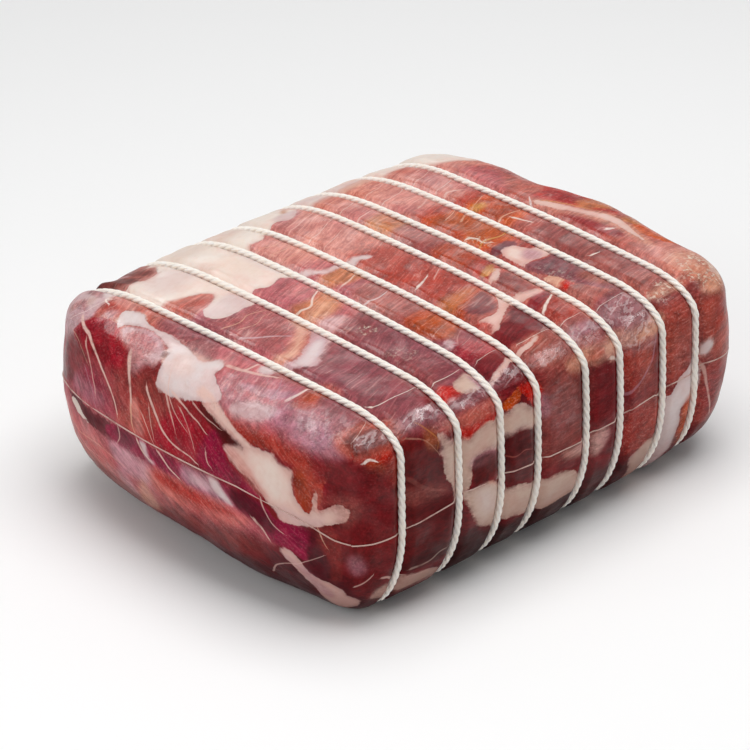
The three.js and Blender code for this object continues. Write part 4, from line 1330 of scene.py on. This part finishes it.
@dataclass(frozen=True)
class MeatFinish:
    """Moist cured meat: painted muscle and fat, grain, specks, a satin film, painted sheen and painted shade
    low down.
    """

    name: str = "cured_meat"
    edge_width: float = 0.012
    edge_blur: float = 0.035
    wander_wide: float = 0.07
    wander_fine: float = 0.08
    feather: float = 0.05
    rim_tint: Colour = (0.78, 0.52, 0.52)
    vein_sway: float = 1.1
    thread_level: tuple[float, float] = (0.084, 0.094)
    top_lean: float = 17.0
    end_lean: float = 35.0
    shine: float = 0.06
    film: float = 0.25
    film_roughness: float = 0.1
    depth: float = 1.12
    richness: float = 1.04
    tint: float = 0.96
    glow: float = 0.12
    glow_depth: float = 0.0022

    def grain(self, board: Board, place: Socket, end: Signal, long: float, fine: float,
              detail: float) -> Signal:
        """Makes streaks along the muscles.

        Args:
            board: the nodes.
            place: the place on the piece.
            end: 1 on the ham's ends, where the muscles run down from the top, 0 elsewhere.
            long: streaks a metre along their run.
            fine: streaks a metre across it.
            detail: how much finer structure they have.

        Returns:
            A number from 0 to 1.
        """
        along = board.stretched(place, (0.0, 0.0, self.top_lean), (long, fine, fine))
        down = board.stretched(place, (self.end_lean, 0.0, 0.0), (fine, long, fine))
        sides = board.noise(along, 1.0, detail, 0.6)
        ends = board.noise(down, 1.0, detail, 0.6)
        return sides * (1.0 - end) + ends * end

    def painted_colour(self, board: Board, place: Socket, end: Signal, painted: Painted) -> Socket:
        """Lays the painted patches over the ground, with edges that wander, feather and thin out.

        Args:
            board: the nodes.
            place: the place on the piece.
            end: 1 on the ham's ends, 0 elsewhere.
            painted: what the skin carries.

        Returns:
            The colour.
        """
        wander = (board.noise(place, 130.0, 2.0) - 0.5) * self.wander_wide
        wander = wander + (board.noise(place, 420.0, 4.0, 0.62) - 0.5) * self.wander_fine
        wander = wander + (self.grain(board, place, end, 60.0, 460.0, 3.0) - 0.5) * self.feather
        blur = board.step(board.noise(place, 48.0, 2.0), 0.42, 0.66) * self.edge_blur + self.edge_width
        # The lean just outside each clear-edged patch is tinted darker and redder: partly its own tone,
        # partly painted shade along the patch's edge.
        rim = board.step(board.noise(place, 66.0, 2.0), 0.44, 0.6) * 0.45
        colour = board.attribute("ground").outputs["Color"]
        for i in range(painted.layers):
            layer = board.attribute(f"layer_{i}")
            inside = board.signal(layer.outputs["Alpha"]) + wander - 0.5
            cover = board.step(inside / blur, -1.0, 1.0) * (board.step(inside, 0.0, 0.14) * 0.2 + 0.8)
            colour = board.layered(colour, (
                (board.step(inside, -0.1, 0.0) * rim, self.rim_tint, Blend.TINT),
                (cover, layer.outputs["Color"], Blend.COVER),
            ))
        return colour

    def threads(self, board: Board, place: Socket, end: Signal) -> Signal:
        """Makes sparse hair-thin lines on the top, roughly along the muscles.

        Args:
            board: the nodes.
            place: the place on the piece.
            end: 1 on the ham's ends, 0 elsewhere.

        Returns:
            How much of them shows.
        """
        course = abs(self.grain(board, place, end, 6.0, 130.0, 1.0) - 0.5)
        spot = board.node("ShaderNodeSeparateXYZ", {0: board.node("ShaderNodeTexCoord").outputs["Object"]})
        upper = board.step(spot.outputs["Z"], *self.thread_level)
        kept = board.step(board.noise(place, 60.0, 2.0), 0.52, 0.62) * (1.0 - end) * upper
        return (1.0 - board.step(course, 0.004, 0.02)) * kept

    def veined(self, board: Board, place: Socket, colour: Socket, painted: Painted) -> Socket:
        """Draws the veins over a colour.

        Args:
            board: the nodes.
            place: the place on the piece.
            colour: the colour.
            painted: what the skin carries.

        Returns:
            The colour with its veins.
        """
        sway = (board.noise(place, 140.0, 3.0, 0.55) - 0.5) * self.vein_sway
        broken = board.step(board.noise(place, 240.0, 2.0), 0.28, 0.5)
        for i in range(painted.strands):
            course = board.attribute(f"course_{i}").outputs["Color"]
            parts = board.node("ShaderNodeSeparateColor", {0: course}).outputs
            across, width, strength = (board.signal(part) for part in parts)
            apart = abs((across - 0.5) * (2 * VEIN_REACH) + sway)
            cover = 1.0 - board.step(apart / (width * (WIDEST_VEIN / 2)), 0.6, 1.7)
            cover = cover * (strength * (broken * 0.45 + 0.55))
            colour = board.mix(cover, colour, board.attribute(f"strand_{i}").outputs["Color"])
        return colour

    def build(self, painted: Painted) -> bpy.types.Material:
        """Makes the material.

        Args:
            painted: what the skin carries.

        Returns:
            The finished material.
        """
        material, board, shader = new_material(self.name)
        place = board.swayed(board.node("ShaderNodeTexCoord").outputs["Object"], 22.0, 12 * MM)
        end, crease, low = (board.reading(name) for name in ("end", "crease", "low"))
        painted_sheen, crust = (board.reading(name) for name in ("painted_sheen", "crust"))
        colour = self.painted_colour(board, place, end, painted)
        parts = board.node("ShaderNodeSeparateColor", {0: colour})
        fat = board.step(parts.outputs["Green"], 0.26, 0.46)
        lean = 1.0 - fat
        lit = lean * board.step(parts.outputs["Red"], 0.12, 0.42)
        grain = self.grain(board, place, end, 60.0, 900.0, 4.0)
        bundle = self.grain(board, place, end, 40.0, 260.0, 4.0)
        drift = board.noise(place, 30.0, 2.0)
        blotch = board.noise(place, 75.0, 3.0)
        mottle = board.noise(place, 300.0, 4.0, 0.6)
        speck = board.noise(place, 1100.0, 2.0, 0.6)
        thin = board.step(board.noise(place, 40.0, 4.0, 0.6), 0.44, 0.7)
        cloud = board.step(board.noise(place, 120.0, 3.0), 0.32, 0.6)
        wrinkle = 1.0 - abs(board.noise(place, 170.0, 3.0, 0.6) * 2.0 - 1.0)
        # Lines along the grain for the painted glints in the sheen.
        glare = 1.0 - abs(self.grain(board, place, end, 60.0, 150.0, 3.0) * 2.0 - 1.0)
        flecks = board.step(board.noise(place, 520.0, 4.0, 0.65), 0.5, 0.6)
        flecks = flecks * board.step(board.noise(place, 150.0, 3.0), 0.36, 0.58) * crust
        gloss = board.step(board.noise(place, 60.0, 4.0, 0.6), 0.42, 0.62)
        texture = board.step(mottle * 0.27 + grain * 0.38 + bundle * 0.35, 0.34, 0.64) * 0.4 + 0.31
        colour = board.layered(colour, (
            (board.step(drift, 0.5, 0.66) * lean * (0.45 - end * 0.4), (1.1, 0.86, 0.66), Blend.TINT),
            ((1.0 - board.step(drift, 0.36, 0.5)) * lean * 0.45, (0.86, 0.7, 0.86), Blend.TINT),
            (lean * 0.85 + 0.12, texture, Blend.TEXTURE),
            (board.step(blotch, 0.46, 0.7) * lean * 0.4, (0.66, 0.4, 0.42), Blend.TINT),
            (board.step(grain, 0.54, 0.72) * lit * (0.22 - end * 0.12), (0.86, 0.6, 0.52), Blend.COVER),
            (self.threads(board, place, end) * lean * 0.24, (0.82, 0.52, 0.46), Blend.COVER),
            # Painted shade: the meat darkens towards the bottom.
            (low, (0.44, 0.32, 0.32), Blend.TINT),
            (thin * fat * 0.6, (0.96, 0.76, 0.74), Blend.TINT),
            ((1.0 - board.step(mottle, 0.34, 0.5)) * fat * 0.25, (0.94, 0.88, 0.84), Blend.TINT),
        ))
        colour = board.layered(self.veined(board, place, colour, painted), (
            (board.step(speck, 0.5, 0.7) * lit * 0.16, (0.78, 0.52, 0.47), Blend.COVER),
            ((1.0 - board.step(speck, 0.26, 0.36)) * lean * 0.25, (0.5, 0.34, 0.34), Blend.TINT),
            # Painted sheen: where the film catches the light, a dull lavender cloud, dark wrinkle lines and
            # pale glint lines are painted into the colour.
            (painted_sheen * (cloud * 0.35 + 0.2), (0.56, 0.38, 0.4), Blend.COVER),
            (board.step(wrinkle, 0.9, 0.97) * painted_sheen * 0.75, (0.5, 0.3, 0.3), Blend.TINT),
            (board.step(glare, 0.9, 0.97) * painted_sheen * 0.5, (0.86, 0.74, 0.74), Blend.COVER),
            (flecks * 0.85, (0.88, 0.74, 0.62), Blend.COVER),
        ))
        rich = board.node("ShaderNodeHueSaturation", {"Saturation": self.richness, "Color": colour})
        colour = board.mix(lean, colour, rich.outputs[0])
        colour = board.node("ShaderNodeGamma", {"Color": colour, "Gamma": self.depth}).outputs[0]
        rough = grain * 0.08 + mottle * 0.2 + speck * 0.05 + bundle * 0.12
        rough = rough + board.step(wrinkle, 0.8, 1.0) * (crease * 0.25 + painted_sheen * 0.35) + flecks * 0.3
        board.fill(shader, {
            "Base Color": board.mix(1.0, colour, (self.tint, self.tint, self.tint), Blend.TINT),
            "Roughness": 0.5 - gloss * 0.14 + fat * 0.08,
            "Coat Weight": (gloss * self.film + painted_sheen * 0.12) * (1.0 - low * 0.6) + 0.02,
            "Normal": board.bump(rough * (lean * 0.75 + 0.25), MM),
            "Specular IOR Level": self.shine,
            "Coat Roughness": self.film_roughness,
            "Subsurface Weight": self.glow,
            "Subsurface Radius": (1.0, 0.36, 0.25),
            "Subsurface Scale": self.glow_depth,
        })
        return material


@dataclass(frozen=True)
class TwineFinish:
    """Soft cotton, off-white, a little stained by the meat."""

    name: str = "cotton_twine"
    colour: Colour = (0.97, 0.91, 0.85)
    shade: Colour = (0.9, 0.785, 0.68)
    stain: Colour = (0.74, 0.5, 0.38)

    def build(self) -> bpy.types.Material:
        """Makes the material.

        Returns:
            The finished material.
        """
        material, board, shader = new_material(self.name)
        place = board.node("ShaderNodeTexCoord").outputs["Object"]
        around = board.vector("SCALE", board.attribute("around").outputs["Vector"], 3.0)
        turned = board.node("ShaderNodeSeparateXYZ", {0: around}).outputs
        along = board.reading("along") * 160.0
        lay = board.node("ShaderNodeCombineXYZ", {0: turned[0], 1: turned[1], 2: along})
        fibres = board.noise(lay.outputs[0], 1.0, 4.0, 0.65)
        colour = board.mix(board.step(fibres, 0.35, 0.7), self.shade, self.colour)
        soiled = board.step(board.noise(place, 90.0, 3.0), 0.5, 0.75) * 0.15
        board.fill(shader, {
            "Base Color": board.mix(soiled, colour, self.stain),
            "Normal": board.bump(fibres, 0.2 * MM),
            "Roughness": 0.9,
            "Sheen Weight": 0.3,
            "Subsurface Weight": 0.5,
            "Subsurface Radius": (1.0, 0.9, 0.8),
            "Subsurface Scale": 1.2 * MM,
        })
        return material


@dataclass(frozen=True)
class SeamFinish:
    """The pale ridge that the press leaves round the sides."""

    name: str = "pressed_seam"
    pale: Colour = (0.56, 0.37, 0.32)
    dark: Colour = (0.35, 0.13, 0.11)

    def build(self) -> bpy.types.Material:
        """Makes the material.

        Returns:
            The finished material.
        """
        material, board, shader = new_material(self.name)
        place = board.node("ShaderNodeTexCoord").outputs["Object"]
        worn = board.step(board.noise(place, 160.0, 3.0), 0.48, 0.7) * 0.75
        board.fill(shader, {
            "Base Color": board.mix(worn, self.pale, self.dark),
            "Normal": board.bump(board.noise(place, 900.0, 3.0), 0.2 * MM),
            "Roughness": 0.45,
            "Coat Weight": 0.08,
        })
        return material


@dataclass
class Ham:
    """The meat: one closed skin over the pressed form."""

    form: PressedForm
    finish: MeatFinish = MeatFinish()
    cell: float = 1.5
    name: str = "ham_meat"
    swells: tuple[tuple[float, float], ...] = ((16.0, 0.45), (6.0, 0.2))
    calm: float = 0.7
    shaded_to: float = 46.0
    shade: float = 0.8

    def stations(self, low: float, high: float) -> Array:
        """Even stations from low to high, about a cell apart."""
        return np.linspace(low, high, round((high - low) / self.cell) + 1)

    def block_grid(self) -> tuple[Array, Array]:
        """Covers the plain block with a grid.

        Returns:
            The grid's points, and its quads as four point numbers a row, facing out.
        """
        low, high = self.form.corners()
        axes = [self.stations(*ends) for ends in zip(low, high)]
        shell = np.ones([len(axis) for axis in axes], dtype=bool)
        shell[1:-1, 1:-1, 1:-1] = False
        places = np.argwhere(shell)
        numbers = np.zeros(shell.shape, dtype=np.int64)
        numbers[shell] = np.arange(len(places))
        points = np.stack([axis[places[:, i]] for i, axis in enumerate(axes)], axis=1)
        sides = [
            (numbers[0].T, False), (numbers[-1].T, True),
            (numbers[:, 0], False), (numbers[:, -1], True),
            (numbers[:, :, 0].T, False), (numbers[:, :, -1].T, True),
        ]
        quads = []
        for side, flipped in sides:
            ring = [side[:-1, :-1], side[1:, :-1], side[1:, 1:], side[:-1, 1:]]
            if flipped:
                ring.reverse()
            quads.append(np.stack([corner.ravel() for corner in ring], axis=1))
        return points, np.concatenate(quads)

    def uneven(self, points: Array, normals: Array, pull: Array) -> Array:
        """Adds the small swells and hollows of real meat, calm where the twine lies.

        Args:
            points: the skin's points, in millimetres.
            normals: the way out at each.
            pull: 1 where the twine lies, 0 between.

        Returns:
            The moved points.
        """
        rise = np.zeros(len(points))
        for size, height in self.swells:
            rise += [height * noise.noise(Vector(point) / size) for point in points]
        for dent in DENTS:
            rise += dent.lift(points)
        calm = 1.0 - self.calm * pull
        standing = 1.0 - smoothstep(-normals[:, 2], 0.7, 0.95)
        return points + normals * (rise * calm * standing)[:, None]

    def build(self) -> None:
        """Makes the meat."""
        block, quads = self.block_grid()
        points, normals = self.form.on_meat(block)
        points = self.uneven(points, normals, self.form.pull(block[:, 0]))
        mesh = bpy.data.meshes.new(self.name)
        mesh.from_pydata((points * MM).tolist(), [], quads.tolist())
        mesh.polygons.foreach_set("use_smooth", np.ones(len(quads), dtype=bool))
        mesh.update()
        painted = Paintwork(self.form).store(mesh, block)
        up = normals[:, 2]
        store_numbers(mesh, "end", smoothstep(np.abs(normals[:, 0]), 0.55, 0.8))
        store_numbers(mesh, "crease", smoothstep(up, 0.2, 0.5) * (1.0 - smoothstep(up, 0.9, 0.99)))
        # Painted shade: how much the meat's colour darkens towards the bottom.
        store_numbers(mesh, "low", (1.0 - smoothstep(points[:, 2], 2.0, self.shaded_to)) * self.shade)
        mesh.materials.append(self.finish.build(painted))
        meat = add_object(self.name, mesh)
        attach(meat, BODY)
        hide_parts("ham")
        LOG.info("%s: %d points, %d quads", self.name, len(block), len(quads))


@dataclass(frozen=True)
class CordSize:
    """The sizes of a cord, in millimetres: its plies, and how far one turn of their twist reaches."""

    plies: int
    ply_radius: float
    ply_offset: float
    pitch: float
    step: float
    sides: int = 8


def swept(board: Board, curve: Socket, sides: int, radius: Socket) -> Socket:
    """Sweeps a round strand along a curve, and stores how far along and around each point is.

    Args:
        board: the nodes.
        curve: the strand's middle line.
        sides: how many sides it has.
        radius: how thick it is.

    Returns:
        The strand's mesh.
    """
    store = "GeometryNodeStoreNamedAttribute"
    along = board.node("GeometryNodeSplineParameter").outputs["Length"]
    kept = board.node(store, {"Geometry": curve, "Name": "along", "Value": along},
                      data_type="FLOAT", domain="POINT").outputs[0]
    ring = board.node("GeometryNodeCurvePrimitiveCircle", {"Resolution": sides, "Radius": 1.0}).outputs[0]
    spot = board.node("GeometryNodeInputPosition").outputs[0]
    marked = board.node(store, {"Geometry": ring, "Name": "around", "Value": spot},
                        data_type="FLOAT_VECTOR", domain="POINT").outputs[0]
    scale = board.vector("SCALE", (1.0, 1.0, 1.0), radius)
    sized = board.node("GeometryNodeTransform", {"Geometry": marked, "Scale": scale}).outputs[0]
    return board.node("GeometryNodeCurveToMesh", {"Curve": kept, "Profile Curve": sized}).outputs[0]


def cord_tree(name: str, size: CordSize, material: bpy.types.Material) -> bpy.types.NodeTree:
    """Builds the node tree that turns a line of edges into a cord.

    Args:
        name: the tree's name.
        size: the cord's plies; their number is fixed in the tree.
        material: what the cord is made of.

    Returns:
        The tree, with inputs named after the cord's sizes.
    """
    tree = bpy.data.node_groups.new(name, "GeometryNodeTree")
    tree.interface.new_socket("Geometry", in_out="INPUT", socket_type="NodeSocketGeometry")
    for label in ("ply radius", "ply offset", "pitch", "step"):
        tree.interface.new_socket(label, in_out="INPUT", socket_type="NodeSocketFloat")
    tree.interface.new_socket("Geometry", in_out="OUTPUT", socket_type="NodeSocketGeometry")
    board = Board(tree)
    given = board.node("NodeGroupInput").outputs
    line = board.node("GeometryNodeMeshToCurve", {0: given["Geometry"]}).outputs[0]
    even = board.node("GeometryNodeResampleCurve", {"Curve": line, "Length": given["step"]},
                      mode="LENGTH").outputs[0]
    length = board.signal(board.node("GeometryNodeSplineLength").outputs["Length"])
    along = board.signal(board.node("GeometryNodeSplineParameter").outputs["Length"])
    normal = board.node("GeometryNodeInputNormal").outputs[0]
    tangent = board.node("GeometryNodeInputTangent").outputs[0]
    other = board.vector("CROSS_PRODUCT", tangent, normal)
    turns = length / board.signal(given["pitch"])
    turns = turns.math("ROUND", turns, 0.0)
    joined = board.node("GeometryNodeJoinGeometry")
    for ply in range(size.plies):
        angle = (along / length * turns + ply / size.plies) * -math.tau
        across = board.vector("SCALE", normal, angle.math("COSINE", angle, 0.0))
        beside = board.vector("SCALE", other, angle.math("SINE", angle, 0.0))
        offset = board.vector("SCALE", board.vector("ADD", across, beside), given["ply offset"])
        moved = board.node("GeometryNodeSetPosition", {"Geometry": even, "Offset": offset}).outputs[0]
        tree.links.new(swept(board, moved, size.sides, given["ply radius"]), joined.inputs[0])
    smooth = board.node("GeometryNodeSetShadeSmooth", {"Geometry": joined.outputs[0]}).outputs[0]
    dressed = board.node("GeometryNodeSetMaterial", {"Geometry": smooth, "Material": material}).outputs[0]
    board.node("NodeGroupOutput", {0: dressed})
    return tree


def make_cord(name: str, lines: list[tuple[Array, bool]], size: CordSize,
              tree: bpy.types.NodeTree) -> bpy.types.Object:
    """Makes a cord along lines.

    Args:
        name: the piece's name.
        lines: each line's points in millimetres, and whether it closes on itself.
        size: the cord's sizes.
        tree: the node tree that makes it.

    Returns:
        A plain mesh object.
    """
    points: list[list[float]] = []
    edges: list[tuple[int, int]] = []
    for line, closed in lines:
        first = len(points)
        points += (line * MM).tolist()
        edges += [(i, i + 1) for i in range(first, len(points) - 1)]
        if closed:
            edges.append((len(points) - 1, first))
    path = bpy.data.meshes.new(f"{name}_path")
    path.from_pydata(points, edges, [])
    guide = add_object(f"{name}_path", path)
    modifier = guide.modifiers.new("cord", "NODES")
    modifier.node_group = tree
    for socket in tree.interface.items_tree:
        if socket.name != "Geometry":
            modifier[socket.identifier] = getattr(size, socket.name.replace(" ", "_")) * MM
    graph = bpy.context.evaluated_depsgraph_get()
    mesh = bpy.data.meshes.new_from_object(guide.evaluated_get(graph))
    mesh.name = name
    cord = add_object(name, mesh)
    guide.modifiers.clear()
    bpy.data.objects.remove(guide)
    return cord


@dataclass
class Lashing:
    """The loops of twine round the ham, each with a knot low on the back."""

    form: PressedForm
    size: CordSize = CordSize(plies=3, ply_radius=1.1, ply_offset=0.58, pitch=13.5, step=0.8)
    finish: TwineFinish = TwineFinish()
    lift: float = 0.9
    sway: float = 0.25
    knot_level: float = 27.0
    knot_radius: float = 1.15
    knot_lift: float = 2.3
    curl_points: int = 60
    tail: float = 15.0
    tail_lift: float = 1.5
    tail_points: int = 12

    def course(self, x: float) -> Array:
        """Follows the ham round, a little sunk in its valley.

        Args:
            x: where the loop crosses the plain block.

        Returns:
            The twine's middle line, in millimetres.
        """
        low, high = self.form.corners()
        corners = [(low[1], low[2]), (high[1], low[2]), (high[1], high[2]), (low[1], high[2])]
        ring = []
        for (y, z), (to_y, to_z) in zip(corners, corners[1:] + corners[:1]):
            count = int(max(abs(to_y - y), abs(to_z - z)))
            ring += [(x, y + (to_y - y) * t, z + (to_z - z) * t) for t in np.arange(count) / count]
        block = np.array(ring)
        block[:, 0] += [self.sway * noise.noise(Vector((x, y * 0.03, z * 0.03))) for _, y, z in ring]
        return self.lifted(block, self.lift)

    def lifted(self, block: Array, lift: float) -> Array:
        """Places points of the plain block above the meat.

        Args:
            block: the points, one a row.
            lift: how high, in millimetres.

        Returns:
            Their places.
        """
        points, normals = self.form.on_meat(block)
        normals[:, 0] = 0.0
        normals /= np.linalg.norm(normals, axis=1)[:, None]
        return points + normals * lift

    def knot(self, x: float) -> list[tuple[Array, bool]]:
        """Ties the loop's knot, with two cut tails.

        Args:
            x: where the loop crosses the plain block.

        Returns:
            The lines of the knot and its tails.
        """
        back = self.form.corners()[1][1]
        spot = np.array([[x, back, self.knot_level]])
        middle = self.lifted(spot, self.knot_lift)[0]
        out = middle - self.lifted(spot, 0.0)[0]
        out /= np.linalg.norm(out)
        side = np.array([1.0, 0.0, 0.0])
        down = np.cross(side, out)
        t = np.arange(self.curl_points) / self.curl_points * math.tau
        curl = np.array([np.sin(t) + 2 * np.sin(2 * t), np.cos(t) - 2 * np.cos(2 * t), -np.sin(3 * t)])
        lines = [(middle + self.knot_radius * curl.T @ np.array([side, down, out]), True)]
        steps = np.linspace(0.0, 1.0, self.tail_points)
        for way in (-1.0, 1.0):
            long = self.tail * (0.92 + 0.3 * math.sin(x * 1.3 + way))
            fall = 0.8 + 0.35 * math.sin(x * 0.7 - 2.0 * way)
            block = np.stack([
                x + way * (1.0 + long * 0.55 * steps + 1.5 * np.sin(steps * 5.0 + x)),
                np.full(self.tail_points, back),
                self.knot_level - 1.0 - long * fall * steps ** (1.4 + 0.3 * way),
            ], axis=1)
            rise = np.outer(1.6 * (1.0 - steps), out)
            lines.append((self.lifted(block, self.tail_lift) + rise, False))
        return lines

    def build(self) -> None:
        """Makes the loops."""
        tree = cord_tree("twisted_twine", self.size, self.finish.build())
        for number, loop in enumerate(LOOPS, start=1):
            lines = [(self.course(loop.x), True)] + self.knot(loop.x)
            cord = make_cord(f"twine_{number}", lines, self.size, tree)
            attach(cord, BODY)
            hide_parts(f"string_{number}")
            LOG.info("%s: %d faces", cord.name, len(cord.data.polygons))


@dataclass
class PressSeam:
    """The thin ridge that the press leaves round the sides, at about half height."""

    form: PressedForm
    size: CordSize = CordSize(plies=1, ply_radius=0.3, ply_offset=0.0, pitch=50.0, step=1.0, sides=6)
    finish: SeamFinish = SeamFinish()
    lift: float = 0.1

    def build(self) -> None:
        """Makes the ridge."""
        low, high = self.form.corners()
        ring = []
        for face, numbers in PRESS_LINES:
            line = np.reshape(numbers, (-1, 2))
            for (a, b), (to_a, to_b) in zip(line, line[1:]):
                count = max(2, round(abs(to_a - a)))
                steps = np.arange(count) / count
                ring += [face.place(a + (to_a - a) * t, b + (to_b - b) * t, low, high) for t in steps]
        points, normals = self.form.on_meat(np.array(ring))
        tree = cord_tree("pressed_ridge", self.size, self.finish.build())
        ridge = make_cord("pressed_seam", [(points + normals * self.lift, True)], self.size, tree)
        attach(ridge, BODY)
        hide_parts("ham")
        LOG.info("%s: %d faces", ridge.name, len(ridge.data.polygons))


@dataclass(frozen=True)
class SoftBox:
    """A lamp that faces the ham, with its place and size in metres, or only its gloss on it."""

    name: str
    place: Point
    size: tuple[float, float]
    watts: float
    gloss_only: bool = False


SOFT_BOXES = (
    SoftBox("back_box", (0.8, 0.8, 0.72), (1.0, 0.6), 4.5, gloss_only=True),
    SoftBox("far_box", (-0.14, 0.82, 1.0), (0.5, 0.4), 6.0, gloss_only=True),
    SoftBox("top_box", (0.05, -0.15, 1.3), (1.1, 1.1), 13.0),
    SoftBox("edge_box", (0.82, -0.28, 1.06), (0.4, 0.28), 5.0, gloss_only=True),
    SoftBox("left_box", (-1.1, 0.1, 0.7), (0.9, 0.6), 3.2),
)


@dataclass
class Studio:
    """The floor, the light and the camera at the photograph's angle."""

    azimuth: float = -44.2
    elevation: float = 28.46
    distance: float = 1.666
    focal_pixels: float = 3674.0
    picture_pixels: float = 750.0
    aim: Point = (0.027, 0.0, 0.05)
    aim_pixel: tuple[float, float] = (437.0, 347.3)
    lit_point: Point = (0.0, 0.0, 0.05)
    daylight: float = 0.38
    floor_size: float = 8.0
    floor_tone: float = 0.92

    def camera(self) -> None:
        """Places the camera and makes it the scene's."""
        turn = math.radians(self.azimuth)
        tilt = math.radians(self.elevation)
        level = math.cos(tilt)
        back = Vector((math.sin(turn) * level, -math.cos(turn) * level, math.sin(tilt)))
        data = bpy.data.cameras.new("camera")
        data.sensor_width = 36.0
        data.lens = data.sensor_width * self.focal_pixels / self.picture_pixels
        data.shift_x = (self.picture_pixels / 2 - self.aim_pixel[0]) / self.picture_pixels
        data.shift_y = (self.aim_pixel[1] - self.picture_pixels / 2) / self.picture_pixels
        data.clip_end = 20.0
        camera = add_object("camera", data)
        camera.location = Vector(self.aim) + back * self.distance
        camera.rotation_euler = back.to_track_quat("Z", "Y").to_euler()
        bpy.context.scene.camera = camera

    def hang(self, box: SoftBox) -> None:
        """Hangs a soft box.

        Args:
            box: the soft box.
        """
        data = bpy.data.lights.new(box.name, "AREA")
        data.shape = "RECTANGLE"
        data.size, data.size_y = box.size
        data.energy = box.watts
        light = add_object(box.name, data)
        light.visible_diffuse = not box.gloss_only
        light.location = box.place
        away = Vector(box.place) - Vector(self.lit_point)
        light.rotation_euler = away.to_track_quat("Z", "Y").to_euler()

    def build(self) -> None:
        """Lays the floor, hangs the lights and places the camera."""
        self.camera()
        scene = bpy.context.scene
        scene.view_settings.view_transform = "Standard"
        scene.world = bpy.data.worlds.new("studio")
        scene.world.use_nodes = True
        background = scene.world.node_tree.nodes["Background"]
        background.inputs["Color"].default_value = (1.0, 1.0, 1.0, 1.0)
        background.inputs["Strength"].default_value = self.daylight
        for box in SOFT_BOXES:
            self.hang(box)
        bpy.ops.mesh.primitive_plane_add(size=self.floor_size)
        floor = bpy.context.object
        floor.name = "floor"
        material, board, shader = new_material("floor")
        grey = (self.floor_tone, self.floor_tone, self.floor_tone, 1.0)
        board.fill(shader, {"Base Color": grey, "Roughness": 0.9, "Specular IOR Level": 0.0})
        floor.data.materials.append(material)


def main() -> None:
    """Builds the ham, its twine and the studio, and reports each piece."""
    logging.basicConfig(level=logging.INFO, format="%(name)s %(message)s")
    form = PressedForm()
    Studio().build()
    Ham(form).build()
    PressSeam(form).build()
    Lashing(form).build()


if __name__ == "__main__":
    main()
